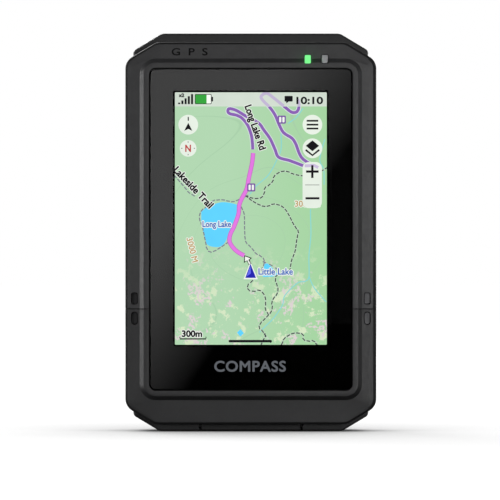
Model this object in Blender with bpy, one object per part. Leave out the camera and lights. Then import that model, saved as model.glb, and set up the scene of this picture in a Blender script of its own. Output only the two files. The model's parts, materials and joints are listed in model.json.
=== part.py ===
"""Handheld satellite navigation unit with a touch screen, as an assembly of separate pieces.

Every size is in millimetres and becomes metres when its vertex is made. The unit stands upright
on its base: +X is its right side as seen from the front, -Y is the front and +Z is up. The origin
is the centre of the base. Outlines of the case lie in the XZ plane and are lofted along Y.
"""

import math

import bmesh
import bpy
from mathutils import Vector

MM = 0.001

# Case outline, seen from the front
BODY_HEIGHT = 103.0
BODY_DEPTH = 27.0
CHAMFER_ANGLE = 59.0  # angle of the corner chamfers' outward normals above the horizontal
REAR_HALF_WIDTH = 30.45
REAR_CHAMFERS = (23.7, 23.1)  # where the corner chamfers start, at the bottom and the top
REAR_RADII = (1.4, 3.0)  # chamfer to side, chamfer to top
BEZEL_HALF_WIDTH = 32.4
BEZEL_BOTTOM, BEZEL_TOP = 2.25, 100.4
BEZEL_CHAMFERS = (24.8, 24.4)
BEZEL_RADII = (3.6, 4.0)

# Screen opening and the raised rim around it
OPENING_HALF_WIDTH = 26.2
OPENING_BOTTOM, OPENING_TOP = 10.65, 93.8
OPENING_RADIUS = 1.7
RIM_TOP_WIDTH = 1.45
RIM_BASE_WIDTH = 2.45
CREASE_X = 23.0  # where the flat top and bottom facets turn into the corner facets
SEAM_Z = 31.7
SEAM_GAP = 0.3

# Depths, front to back
FRONT_Y = -BODY_DEPTH / 2
GLASS_Y = FRONT_Y + 0.3
GLASS_THICKNESS = 1.1
FACE_Y = FRONT_Y + 1.1  # the bezel's face at the foot of the rim
FACE_EDGE_Y = FRONT_Y + 1.45
BEZEL_BACK_Y = -6.8
REAR_FRONT_Y = -6.5
REAR_FLAT_Y = 9.5
BACK_Y = BODY_DEPTH / 2
BEZEL_WALL = 1.6
CLEARANCE = 0.3

# Inside of the rear housing
CAVITY_HALF_WIDTH = 27.9
CAVITY_BOTTOM, CAVITY_TOP = 5.4, 97.4
CAVITY_CHAMFERS = (22.2, 22.2)
CAVITY_BACK_Y = 7.1
GROOVE_WIDTH, GROOVE_DEPTH = 1.2, 1.2

# Display stack
SCREEN_HALF_WIDTH = 19.6
SCREEN_BOTTOM, SCREEN_TOP = 22.45, 87.6
MODULE_HALF_WIDTH = SCREEN_HALF_WIDTH + 1.8
MODULE_BOTTOM, MODULE_TOP = SCREEN_BOTTOM - 5.0, SCREEN_TOP + 2.8
STACK_GAP = 0.12

# Electronics
BOARD_HALF_WIDTH = 21.8
BOARD_BOTTOM, BOARD_TOP = 6.2, 91.4
BOARD_FRONT_Y, BOARD_BACK_Y = -5.4, -4.4
BATTERY_HALF_WIDTH = 17.6
BATTERY_BOTTOM, BATTERY_TOP = 20.0, 78.0
BATTERY_FRONT_Y, BATTERY_BACK_Y = -1.4, 6.6

# Buttons on the sides
BUTTON_Y, BUTTON_Z = -1.6, 68.0
BUTTON_LENGTH, BUTTON_WIDTH = 11.0, 3.8
BUTTON_PROUD = 1.0
STEM_RADIUS = 1.3

# Charging port under its hinged cap in the base
PORT_Y = -2.57
PORT_SIZE = (8.94, 3.26)
PORT_WELL = (12.4, 6.0)
PORT_MOUTH_Z = 3.9
CAP_HALF_WIDTH = 12.95
CAP_BOTTOM, CAP_TOP = 0.2, 2.2
RECESS_HALF_WIDTH = 13.45
RECESS_TOP = 2.5
HINGE_Y, HINGE_Z = 4.4, 1.3
BARREL_RADIUS = 1.05
PIN_RADIUS = 0.5

# Lanyard slots in the front, one above and one below the seam on each side
SLOT_X = 30.05
SLOT_SIZE = (1.7, 3.3)
SLOT_HEIGHTS = (29.3, 34.4)

# Windows of the status lamp and the light sensor
WINDOW_Z = 96.15
WINDOW_SIZE = (1.55, 2.1)
LAMP_X, SENSOR_X = 14.7, 19.1

# Fasteners
SCREW_HEAD_RADIUS, SCREW_SHAFT_RADIUS = 1.8, 1.0
CASE_SCREWS = [(side * x, z) for x, z in ((24.8, 10.5), (25.0, 50.0), (24.8, 92.2)) for side in (-1, 1)]

# Rail on the back for a clip
SPINE_BOTTOM, SPINE_TOP = 46.0, 84.0
SPINE_HEAD, SPINE_NECK = 18.0, 12.4
SPINE_HEAD_THICKNESS = 2.1
SPINE_SCREW_HEIGHTS = (54.0, 76.0)

ARC_STEPS = 4
CIRCLE_STEPS = 20


# ---------------------------------------------------------------- outlines

def arc(centre, radius, start, end, steps=ARC_STEPS):
    """Points along an arc, angles in degrees."""
    turns = [math.radians(start + (end - start) * i / steps) for i in range(steps + 1)]
    return [(centre[0] + radius * math.cos(t), centre[1] + radius * math.sin(t)) for t in turns]


def fillet_centre(first, second, radius):
    """Centre of the fillet between two lines, each (angle of the outward normal, distance from 0)."""
    (a, da), (b, db) = ((math.radians(angle), distance - radius) for angle, distance in (first, second))
    det = math.cos(a) * math.sin(b) - math.sin(a) * math.cos(b)
    return (
        (da * math.sin(b) - db * math.sin(a)) / det,
        (db * math.cos(a) - da * math.cos(b)) / det,
    )


def chamfered_outline(half_width, bottom, top, chamfers, radii, inset=0.0):
    """Upright outline with chamfered corners, moved inwards by inset, anticlockwise from the right."""
    normal = math.radians(CHAMFER_ANGLE)
    below = chamfers[0] * math.cos(normal) - bottom * math.sin(normal)
    above = chamfers[1] * math.cos(normal) + top * math.sin(normal)
    lines = [
        (0, half_width), (CHAMFER_ANGLE, above), (90, top),
        (180 - CHAMFER_ANGLE, above), (180, half_width),
        (180 + CHAMFER_ANGLE, below), (270, -bottom), (360 - CHAMFER_ANGLE, below), (360, half_width),
    ]
    lines = [(angle, distance - inset) for angle, distance in lines]
    side, cap = radii
    points = []
    for first, second, radius in zip(lines, lines[1:], (side, cap, cap, side, side, cap, cap, side)):
        radius = max(radius - inset, 0.25)
        points += arc(fillet_centre(first, second, radius), radius, first[0], second[0])
    return points


def rounded_outline(half_width, bottom, top, radius, grow=0.0):
    """Rounded rectangle with as many points as a chamfered outline, and creases near CREASE_X."""
    width, low, high, radius = half_width + grow, bottom - grow, top + grow, max(radius + grow, 0.25)
    middle = min(CREASE_X, width - radius - 1)
    crease = [middle + 0.6 - 1.2 * i / ARC_STEPS for i in range(ARC_STEPS + 1)]
    right_top = arc((width - radius, high - radius), radius, 0, 90) + [(x, high) for x in crease]
    right_bottom = arc((width - radius, low + radius), radius, 0, -90) + [(x, low) for x in crease]
    left_top = [(-x, z) for x, z in reversed(right_top)]
    left_bottom = [(-x, z) for x, z in right_bottom]
    return right_top + left_top + left_bottom + list(reversed(right_bottom))


def bezel_outline(inset):
    return chamfered_outline(BEZEL_HALF_WIDTH, BEZEL_BOTTOM, BEZEL_TOP, BEZEL_CHAMFERS, BEZEL_RADII, inset)


def rear_outline(inset):
    return chamfered_outline(REAR_HALF_WIDTH, 0.0, BODY_HEIGHT, REAR_CHAMFERS, REAR_RADII, inset)


def cavity_outline(grow=0.0):
    return chamfered_outline(
        CAVITY_HALF_WIDTH, CAVITY_BOTTOM, CAVITY_TOP, CAVITY_CHAMFERS, REAR_RADII, -grow
    )


def opening_outline(grow=0.0):
    return rounded_outline(OPENING_HALF_WIDTH, OPENING_BOTTOM, OPENING_TOP, OPENING_RADIUS, grow)


def rectangle(low, high, radius=0.0):
    """Rectangle from its lowest to its highest corner, with rounded corners if it has a radius."""
    (x0, z0), (x1, z1) = low, high
    if not radius:
        return [(x1, z1), (x0, z1), (x0, z0), (x1, z0)]
    corners = (
        ((x1 - radius, z1 - radius), 0), ((x0 + radius, z1 - radius), 90),
        ((x0 + radius, z0 + radius), 180), ((x1 - radius, z0 + radius), 270),
    )
    return [p for centre, start in corners for p in arc(centre, radius, start, start + 90)]


def centred(centre, size, radius=0.0):
    low = (centre[0] - size[0] / 2, centre[1] - size[1] / 2)
    high = (centre[0] + size[0] / 2, centre[1] + size[1] / 2)
    return rectangle(low, high, radius)


def obround(centre, size):
    """Slot shape with fully round ends, a hair short of touching arcs."""
    return centred(centre, size, min(size) / 2 - 0.01)


def circle(centre, radius, steps=CIRCLE_STEPS):
    return arc(centre, radius, 0, 360, steps)[:-1]


# ---------------------------------------------------------------- solids

def placed(outline, axis, depth):
    """An outline's points in space. Along X it holds (y, z), along Y (x, z) and along Z (x, y)."""
    if axis == "X":
        return [(depth, a, b) for a, b in outline]
    if axis == "Y":
        return [(a, depth, b) for a, b in outline]
    return [(a, b, depth) for a, b in outline]


def loft(name, loops, material, ring=False, origin=(0, 0, 0)):
    """A closed solid through loops of equally many points: capped at its ends, or joined in a ring."""
    mesh = bmesh.new()
    rows = [[mesh.verts.new((Vector(p) - Vector(origin)) * MM) for p in loop] for loop in loops]
    count = len(rows[0])
    pairs = list(zip(rows, rows[1:])) + ([(rows[-1], rows[0])] if ring else [])
    for lower, upper in pairs:
        for i in range(count):
            j = (i + 1) % count
            mesh.faces.new((lower[i], lower[j], upper[j], upper[i]))
    if not ring:
        mesh.faces.new(rows[0])
        mesh.faces.new(rows[-1])
    return finish(name, mesh, material, origin)


def finish(name, mesh, material, origin=(0, 0, 0)):
    """Turns the faces outwards and makes the object, with its origin at a point in millimetres."""
    bmesh.ops.recalc_face_normals(mesh, faces=mesh.faces)
    data = bpy.data.meshes.new(name)
    mesh.to_mesh(data)
    mesh.free()
    data.shade_smooth()
    data.set_sharp_from_angle(angle=math.radians(30))
    if material:
        data.materials.append(material)
    item = bpy.data.objects.new(name, data)
    item.location = Vector(origin) * MM
    bpy.context.scene.collection.objects.link(item)
    return item


def prism(name, outline, axis, start, end, material, origin=(0, 0, 0)):
    return loft(name, [placed(outline, axis, d) for d in (start, end)], material, origin=origin)


def box(name, low, high, material, edge=0.0, origin=(0, 0, 0)):
    """Block between two corners, its edges bevelled by edge."""
    outline = rectangle((low[0], low[2]), (high[0], high[2]))
    item = prism(name, outline, "Y", low[1], high[1], material, origin)
    if edge:
        bevel = item.modifiers.new("edges", "BEVEL")
        bevel.width = edge * MM
        bevel.segments = 1
        bevel.limit_method = "ANGLE"
    return item


def turned(name, profile, centre, axis, material, steps=CIRCLE_STEPS, origin=(0, 0, 0)):
    """Round solid from (depth along the axis, radius) pairs."""
    loops = [placed(circle(centre, radius, steps), axis, depth) for depth, radius in profile]
    return loft(name, loops, material, origin=origin)


def combine(item, tool, operation):
    """Adds a Boolean with a hidden helper."""
    step = item.modifiers.new(tool.name, "BOOLEAN")
    step.operation = operation
    step.object = tool
    tool.hide_render = True
    tool.display_type = "WIRE"


def cut(item, tool):
    combine(item, tool, "DIFFERENCE")


def add(item, tool):
    combine(item, tool, "UNION")


def keep_side(item, height, above):
    """Cuts a ring at a height, keeps one side of it and closes the cut."""
    mesh = bmesh.new()
    mesh.from_mesh(item.data)
    everything = list(mesh.verts) + list(mesh.edges) + list(mesh.faces)
    found = bmesh.ops.bisect_plane(
        mesh, geom=everything, plane_co=(0, 0, height * MM), plane_no=(0, 0, 1),
        clear_inner=above, clear_outer=not above,
    )
    edges = [g for g in found["geom_cut"] if isinstance(g, bmesh.types.BMEdge)]
    bmesh.ops.holes_fill(mesh, edges=edges)
    bmesh.ops.recalc_face_normals(mesh, faces=mesh.faces)
    mesh.to_mesh(item.data)
    mesh.free()


def finish_material(name, colour, roughness, metallic=0.0, alpha=1.0, glow=0.0):
    material = bpy.data.materials.new(name)
    material.use_nodes = True
    shader = material.node_tree.nodes["Principled BSDF"]
    shader.inputs["Base Color"].default_value = (*colour, 1)
    shader.inputs["Roughness"].default_value = roughness
    shader.inputs["Metallic"].default_value = metallic
    shader.inputs["Alpha"].default_value = alpha
    shader.inputs["Emission Color"].default_value = (*colour, 1)
    shader.inputs["Emission Strength"].default_value = glow
    material.diffuse_color = (*colour, 1)
    return material


def make_materials():
    return {
        "bezel": finish_material("bezel_plastic", (0.055, 0.055, 0.058), 0.5),
        "housing": finish_material("housing_plastic", (0.035, 0.035, 0.037), 0.6),
        "chassis": finish_material("chassis_plastic", (0.02, 0.02, 0.02), 0.6),
        "rubber": finish_material("black_rubber", (0.02, 0.02, 0.02), 0.8),
        "glass": finish_material("cover_glass", (0.01, 0.01, 0.01), 0.05, alpha=0.35),
        "screen": finish_material("screen", (0.45, 0.7, 0.42), 0.3),
        "diffuser": finish_material("diffuser", (0.85, 0.85, 0.85), 0.5),
        "steel": finish_material("steel", (0.55, 0.55, 0.57), 0.35, 1.0),
        "board": finish_material("circuit_board", (0.02, 0.12, 0.05), 0.5),
        "ceramic": finish_material("ceramic", (0.75, 0.7, 0.6), 0.4),
        "cell": finish_material("battery_wrap", (0.1, 0.12, 0.2), 0.4),
        "ribbon": finish_material("ribbon", (0.5, 0.28, 0.06), 0.4),
        "green": finish_material("green_window", (0.2, 0.9, 0.35), 0.3, glow=1.0),
        "grey": finish_material("grey_window", (0.3, 0.3, 0.32), 0.3),
        "white": finish_material("switch_plastic", (0.7, 0.7, 0.68), 0.5),
    }


# ---------------------------------------------------------------- case

def make_bezels(materials):
    """Upper and lower front bezel: one ring section, split at the seam."""
    loops = [
        placed(bezel_outline(0.0), "Y", BEZEL_BACK_Y),
        placed(bezel_outline(0.0), "Y", FACE_EDGE_Y + 0.6),
        placed(bezel_outline(0.15), "Y", FACE_EDGE_Y + 0.2),
        placed(bezel_outline(0.5), "Y", FACE_EDGE_Y),
        placed(opening_outline(RIM_BASE_WIDTH), "Y", FACE_Y),
        placed(opening_outline(RIM_TOP_WIDTH), "Y", FRONT_Y),
        placed(opening_outline(0.0), "Y", FRONT_Y),
        placed(opening_outline(0.0), "Y", FRONT_Y + 1.6),
        placed(opening_outline(2.3), "Y", FRONT_Y + 1.6),
        placed(opening_outline(2.3), "Y", FRONT_Y + 2.9),
        placed(bezel_outline(BEZEL_WALL), "Y", FRONT_Y + 2.9),
        placed(bezel_outline(BEZEL_WALL), "Y", BEZEL_BACK_Y),
    ]
    places = [(side * SLOT_X, z) for side in (-1, 1) for z in SLOT_HEIGHTS]
    slots = [
        prism(f"slot_cutter_{i}", obround(place, SLOT_SIZE), "Y", FRONT_Y - 1, -8.4, None)
        for i, place in enumerate(places)
    ]
    windows = [
        prism(
            f"window_cutter_{i}",
            centred((x, WINDOW_Z), (WINDOW_SIZE[0] + 0.4, WINDOW_SIZE[1] + 0.4), 0.3),
            "Y", FRONT_Y - 1, BEZEL_BACK_Y + 1, None,
        )
        for i, x in enumerate((LAMP_X, SENSOR_X))
    ]
    low_slots, high_slots = slots[0::2], slots[1::2]
    for name, height, above, cutters in (
        ("upper_bezel", SEAM_Z + SEAM_GAP / 2, True, high_slots + windows),
        ("lower_bezel", SEAM_Z - SEAM_GAP / 2, False, low_slots),
    ):
        bezel = loft(name, loops, materials["bezel"], ring=True)
        keep_side(bezel, height, above)
        for cutter in cutters:
            cut(bezel, cutter)


def make_chassis(materials):
    """Frame behind the bezels that holds the glass, the display and the bosses of the case screws."""
    window = rounded_outline(MODULE_HALF_WIDTH + 0.35, MODULE_BOTTOM - 0.35, MODULE_TOP + 0.35, 0.4)
    step = opening_outline(2.0)
    flange = bezel_outline(BEZEL_WALL + CLEARANCE)
    plug = cavity_outline(-CLEARANCE)
    loops = [
        placed(window, "Y", -11.6), placed(step, "Y", -11.6), placed(step, "Y", -10.3),
        placed(flange, "Y", -10.3), placed(flange, "Y", BEZEL_BACK_Y), placed(plug, "Y", BEZEL_BACK_Y),
        placed(plug, "Y", -6.0), placed(window, "Y", -6.0),
    ]
    chassis = loft("chassis_frame", loops, materials["chassis"], ring=True)
    for i, (x, z) in enumerate(CASE_SCREWS):
        add(chassis, turned(f"chassis_boss_{i}", [(-7.5, 2.3), (-1.7, 2.3)], (x, z), "Y", None))
        cut(chassis, turned(f"chassis_pilot_{i}", [(-6.5, 1.2), (-1.0, 1.2)], (x, z), "Y", None))
    for i, side in enumerate((-1, 1)):
        low, high = sorted((side * (SLOT_X - 0.95), side * (SLOT_X + 2)))
        tunnel = rectangle((low, SLOT_HEIGHTS[0] - 1.8), (high, SLOT_HEIGHTS[1] + 1.8))
        cut(chassis, prism(f"lanyard_tunnel_{i}", tunnel, "Y", -12.0, -8.3, None))
    for i, x in enumerate((LAMP_X, SENSOR_X)):
        shaft = centred((x, WINDOW_Z), (WINDOW_SIZE[0] + 0.4, WINDOW_SIZE[1] + 0.4))
        cut(chassis, prism(f"light_shaft_{i}", shaft, "Y", -12.5, -7.9, None))
    led_room = rectangle((LAMP_X - 3.2, WINDOW_Z - 2.2), (SENSOR_X + 3.2, WINDOW_Z + 1.4))
    cut(chassis, prism("led_room", led_room, "Y", -8.6, -5.0, None))


def make_rear_housing(materials):
    """Rear shell: outer profile, gasket groove, cavity, screw bosses, button walls and port recess."""
    loops = [
        placed(cavity_outline(-1.0), "Y", CAVITY_BACK_Y),
        placed(cavity_outline(), "Y", CAVITY_BACK_Y - 1.0),
        placed(cavity_outline(), "Y", REAR_FRONT_Y + GROOVE_DEPTH),
        placed(cavity_outline(GROOVE_WIDTH), "Y", REAR_FRONT_Y + GROOVE_DEPTH),
        placed(cavity_outline(GROOVE_WIDTH), "Y", REAR_FRONT_Y),
        placed(rear_outline(0.5), "Y", REAR_FRONT_Y),
        placed(rear_outline(0.0), "Y", REAR_FRONT_Y + 0.5),
        placed(rear_outline(0.0), "Y", 6.3),
        placed(rear_outline(1.2), "Y", 8.4),
        placed(rear_outline(3.0), "Y", REAR_FLAT_Y),
    ]
    housing = loft("rear_housing", loops, materials["housing"])
    for i, (x, z) in enumerate(CASE_SCREWS):
        boss = [(-1.3, 2.4), (CAVITY_BACK_Y + 0.5, 2.4)]
        add(housing, turned(f"housing_boss_{i}", boss, (x, z), "Y", None))
        bore = [(-2.0, 1.2), (7.4, 1.2), (7.4, SCREW_HEAD_RADIUS + 0.3), (BACK_Y, SCREW_HEAD_RADIUS + 0.3)]
        cut(housing, turned(f"screw_bore_{i}", bore, (x, z), "Y", None))
    for i, z in enumerate(SPINE_SCREW_HEIGHTS):
        cut(housing, turned(f"spine_bore_{i}", [(6.0, 1.2), (BACK_Y, 1.2)], (0, z), "Y", None))
    for i, side in enumerate((-1, 1)):
        wall = obround((BUTTON_Y, BUTTON_Z), (7.2, BUTTON_LENGTH + 4.6))
        add(housing, prism(f"button_wall_{i}", wall, "X", side * 24.9, side * (CAVITY_HALF_WIDTH + 1), None))
        room = obround((BUTTON_Y, BUTTON_Z), (5.8, BUTTON_LENGTH + 2.6))
        cut(housing, prism(f"button_room_{i}", room, "X", side * 24.0, side * CAVITY_HALF_WIDTH, None))
        hole = obround((BUTTON_Y, BUTTON_Z), (BUTTON_WIDTH + 0.4, BUTTON_LENGTH + 0.4))
        cut(housing, prism(f"button_hole_{i}", hole, "X", side * 27.0, side * 33.0, None))
    recess_back = HINGE_Y + BARREL_RADIUS + 0.4
    recess = rectangle((-RECESS_HALF_WIDTH, -1.0), (RECESS_HALF_WIDTH, RECESS_TOP))
    cut(housing, prism("port_recess", recess, "Y", REAR_FRONT_Y - 1, recess_back, None))
    cut(housing, prism("port_well", obround((0, PORT_Y), PORT_WELL), "Z", 1.0, CAVITY_BOTTOM + 1, None))
    pin_hole = [(-RECESS_HALF_WIDTH - 1.3, PIN_RADIUS + 0.05), (RECESS_HALF_WIDTH + 1.3, PIN_RADIUS + 0.05)]
    cut(housing, turned("pin_hole", pin_hole, (HINGE_Y, HINGE_Z), "X", None, steps=12))
    vent_bore = [(6.0, 2.0), (8.3, 2.0), (8.3, 3.3), (BACK_Y, 3.3)]
    cut(housing, turned("vent_hole", vent_bore, (0, 24.0), "Y", None))


def make_gasket(materials):
    loops = [
        placed(cavity_outline(0.15), "Y", REAR_FRONT_Y - 0.1),
        placed(cavity_outline(GROOVE_WIDTH - 0.15), "Y", REAR_FRONT_Y - 0.1),
        placed(cavity_outline(GROOVE_WIDTH - 0.15), "Y", REAR_FRONT_Y + GROOVE_DEPTH - 0.15),
        placed(cavity_outline(0.15), "Y", REAR_FRONT_Y + GROOVE_DEPTH - 0.15),
    ]
    loft("housing_gasket", loops, materials["rubber"], ring=True)


def make_spine(materials):
    """Rail with an overhanging head on the back, held by two screws."""
    base_y = REAR_FLAT_Y + 0.15
    head_y = BACK_Y - SPINE_HEAD_THICKNESS
    foot, head = SPINE_NECK / 2, SPINE_HEAD / 2
    section = [
        (-foot, base_y), (foot, base_y), (foot, head_y), (head, head_y),
        (head, BACK_Y - 0.5), (head - 0.5, BACK_Y), (-head + 0.5, BACK_Y), (-head, BACK_Y - 0.5),
        (-head, head_y), (-foot, head_y),
    ]
    spine = prism("mount_spine", section, "Z", SPINE_BOTTOM, SPINE_TOP, materials["housing"])
    low, high = (-head, base_y, SPINE_BOTTOM - 2.5), (head, BACK_Y - 0.5, SPINE_BOTTOM + 0.5)
    add(spine, box("spine_stop", low, high, None))
    for i, z in enumerate(SPINE_SCREW_HEIGHTS):
        seat = SCREW_HEAD_RADIUS + 0.3
        bore = [(9.0, 1.2), (11.2, 1.2), (11.2, seat), (BACK_Y + 1, seat)]
        cut(spine, turned(f"spine_seat_{i}", bore, (0, z), "Y", None))
        make_screw(f"spine_screw_{i + 1}", (0, z), 11.35, 4.2, materials["steel"])


def make_screw(name, centre, seat_y, length, material):
    """Cross-head screw driven from the back: its shaft runs from the seat towards the front."""
    profile = [
        (seat_y - length, SCREW_SHAFT_RADIUS - 0.3), (seat_y - length + 0.4, SCREW_SHAFT_RADIUS),
        (seat_y, SCREW_SHAFT_RADIUS), (seat_y, SCREW_HEAD_RADIUS),
        (seat_y + 0.8, SCREW_HEAD_RADIUS), (seat_y + 1.15, SCREW_HEAD_RADIUS - 0.5),
    ]
    screw = turned(name, profile, centre, "Y", material, steps=12)
    for i, size in enumerate(((2.0, 0.5), (0.5, 2.0))):
        cut(screw, prism(f"{name}_slot_{i}", centred(centre, size), "Y", seat_y + 0.5, seat_y + 2, None))


def make_case_screws(materials):
    for i, centre in enumerate(CASE_SCREWS):
        make_screw(f"case_screw_{i + 1}", centre, 7.55, 12.5, materials["steel"])


def make_vent(materials):
    """Breathable plug that lets the pressure sensor feel the outside air."""
    profile = [(6.6, 1.8), (8.5, 1.8), (8.5, 3.1), (9.2, 3.1), (9.4, 2.8)]
    turned("vent_plug", profile, (0, 24.0), "Y", materials["rubber"])


# ---------------------------------------------------------------- display

def make_display(materials):
    """Cover glass, its gasket, touch sensor, panel, backlight and tray, front to back."""
    glass_back = GLASS_Y + GLASS_THICKNESS
    glass = [
        placed(opening_outline(-0.4), "Y", GLASS_Y), placed(opening_outline(-0.25), "Y", GLASS_Y + 0.15),
        placed(opening_outline(-0.25), "Y", glass_back),
    ]
    loft("cover_glass", glass, materials["glass"])
    seat = rounded_outline(MODULE_HALF_WIDTH + 0.5, MODULE_BOTTOM - 0.5, MODULE_TOP + 0.5, 0.5)
    gasket = [
        placed(seat, "Y", glass_back + STACK_GAP), placed(opening_outline(-0.5), "Y", glass_back + STACK_GAP),
        placed(opening_outline(-0.5), "Y", -11.6 - STACK_GAP), placed(seat, "Y", -11.6 - STACK_GAP),
    ]
    loft("glass_gasket", gasket, materials["rubber"], ring=True)
    stack = (
        ("touch_sensor", 0.3, "glass", 0.0), ("lcd_panel", 1.2, "screen", 0.3),
        ("backlight", 1.5, "diffuser", 0.0),
    )
    front = glass_back + STACK_GAP
    for name, thickness, material, trim in stack:
        low = (-MODULE_HALF_WIDTH + trim, front, MODULE_BOTTOM + trim)
        high = (MODULE_HALF_WIDTH - trim, front + thickness, MODULE_TOP - trim)
        box(name, low, high, materials[material])
        front += thickness + STACK_GAP
    box(
        "display_tray", (-MODULE_HALF_WIDTH, front, MODULE_BOTTOM),
        (MODULE_HALF_WIDTH, front + 0.5, MODULE_TOP), materials["steel"],
    )
    ribbon_front = front + 0.5 + STACK_GAP
    section = [
        (ribbon_front, 20.0), (ribbon_front, 30.0), (-6.6, 30.0), (-6.6, 26.0), (-5.7, 26.0),
        (-5.7, 25.8), (-6.8, 25.8), (-6.8, 29.8), (ribbon_front + 0.2, 29.8), (ribbon_front + 0.2, 20.0),
    ]
    prism("display_ribbon", section, "X", -7.0, 7.0, materials["ribbon"])


def make_windows(materials):
    """Light pipes of the status lamp and the light sensor, and the parts behind them."""
    half = (WINDOW_SIZE[0] / 2, WINDOW_SIZE[1] / 2)
    for name, x, material in (("lamp_light_pipe", LAMP_X, "green"), ("sensor_light_pipe", SENSOR_X, "grey")):
        side = [
            (-13.4, WINDOW_Z - half[1]), (-12.75, WINDOW_Z + half[1]),
            (-8.3, WINDOW_Z + half[1]), (-8.3, WINDOW_Z - half[1]),
        ]
        prism(name, side, "X", x - half[0], x + half[0], materials[material])
    box(
        "led_board", (LAMP_X - 2.6, -6.95, WINDOW_Z - 1.9), (SENSOR_X + 2.6, -6.35, WINDOW_Z + 1.1),
        materials["board"],
    )
    for name, x, material in (("status_led", LAMP_X, "white"), ("light_sensor", SENSOR_X, "ceramic")):
        box(name, (x - 0.8, -7.8, WINDOW_Z - 0.8), (x + 0.8, -7.05, WINDOW_Z + 0.8), materials[material])


# ---------------------------------------------------------------- electronics

def make_board(materials):
    """Main board with its shields, sensor, beeper and screws."""
    outline = rectangle((-BOARD_HALF_WIDTH, BOARD_BOTTOM), (BOARD_HALF_WIDTH, BOARD_TOP), 1.5)
    board = prism("main_board", outline, "Y", BOARD_FRONT_Y, BOARD_BACK_Y, materials["board"])
    back = BOARD_BACK_Y + 0.1
    box("processor_shield", (-13.0, back, 42.0), (11.0, back + 1.6, 62.0), materials["steel"], 0.3)
    box("rf_shield", (-8.5, back, 80.0), (4.0, back + 1.6, 90.0), materials["steel"], 0.3)
    box("pressure_sensor", (-1.5, back, 22.5), (1.5, back + 1.0, 25.5), materials["steel"])
    can = [(back, 5.2), (back + 2.2, 5.2), (back + 2.6, 4.8)]
    turned("beeper", can, (12.5, 85.0), "Y", materials["steel"])
    for i, (x, z) in enumerate(((-19.5, 88.5), (19.5, 88.5), (-18.5, 9.0), (18.5, 9.0))):
        cut(board, turned(f"board_hole_{i}", [(-7.0, 1.2), (-3.0, 1.2)], (x, z), "Y", None, steps=12))
        make_board_screw(f"board_screw_{i + 1}", (x, z), materials["steel"])


def make_board_screw(name, centre, material):
    profile = [(-5.85, 0.9), (-4.25, 0.9), (-4.25, 1.7), (-3.5, 1.7), (-3.3, 1.4)]
    turned(name, profile, centre, "Y", material, steps=12)


def make_antenna(materials):
    """Ceramic patch antenna facing up, on its ground board in the top of the case."""
    box("antenna_board", (-12.0, -5.0, 92.0), (12.0, 6.4, 92.8), materials["board"])
    box("gnss_antenna", (-9.0, -4.6, 92.95), (9.0, 6.0, 96.6), materials["ceramic"], 0.4)


def make_battery(materials):
    """Flat cell in its tray, with the plug and ribbon that join it to the board."""
    box(
        "battery_pack", (-BATTERY_HALF_WIDTH, BATTERY_FRONT_Y, BATTERY_BOTTOM),
        (BATTERY_HALF_WIDTH, BATTERY_BACK_Y, BATTERY_TOP), materials["cell"], 0.9,
    )
    tray = prism(
        "battery_tray", rectangle((-16.0, BATTERY_BOTTOM), (16.0, BATTERY_TOP), 1.0),
        "Y", BATTERY_FRONT_Y - 0.9, BATTERY_FRONT_Y - 0.2, materials["chassis"],
    )
    cut(tray, prism("tray_window", rectangle((-11, 28), (11, 38), 1.0), "Y", -4, 0, None))
    back = BOARD_BACK_Y + 0.1
    box("battery_connector", (-18.5, back, 81.5), (-12.5, back + 2.0, 85.0), materials["white"])
    lead = [(0.4, 78.15), (0.4, 83.4), (-2.1, 83.4), (-2.1, 83.2), (0.2, 83.2), (0.2, 78.15)]
    prism("battery_lead", lead, "X", -16.5, -13.5, materials["ribbon"])


def make_port(materials):
    """Charging receptacle with its seal."""
    shell = prism(
        "usb_port", obround((0, PORT_Y), PORT_SIZE), "Z", PORT_MOUTH_Z, PORT_MOUTH_Z + 7.3, materials["steel"]
    )
    mouth = obround((0, PORT_Y), (PORT_SIZE[0] - 0.6, PORT_SIZE[1] - 0.6))
    cut(shell, prism("port_mouth", mouth, "Z", PORT_MOUTH_Z - 1, PORT_MOUTH_Z + 6.2, None))
    low, high = (-3.3, PORT_Y - 0.35, PORT_MOUTH_Z + 0.7), (3.3, PORT_Y + 0.35, PORT_MOUTH_Z + 6.6)
    add(shell, box("port_tongue", low, high, None))
    outer, inner = obround((0, PORT_Y), (11.9, 5.5)), obround((0, PORT_Y), (9.3, 3.6))
    loops = [
        placed(inner, "Z", PORT_MOUTH_Z + 0.6), placed(outer, "Z", PORT_MOUTH_Z + 0.6),
        placed(outer, "Z", CAVITY_BOTTOM + 0.3), placed(inner, "Z", CAVITY_BOTTOM + 0.3),
    ]
    loft("usb_seal", loops, materials["rubber"], ring=True)


# ---------------------------------------------------------------- moving pieces

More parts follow.
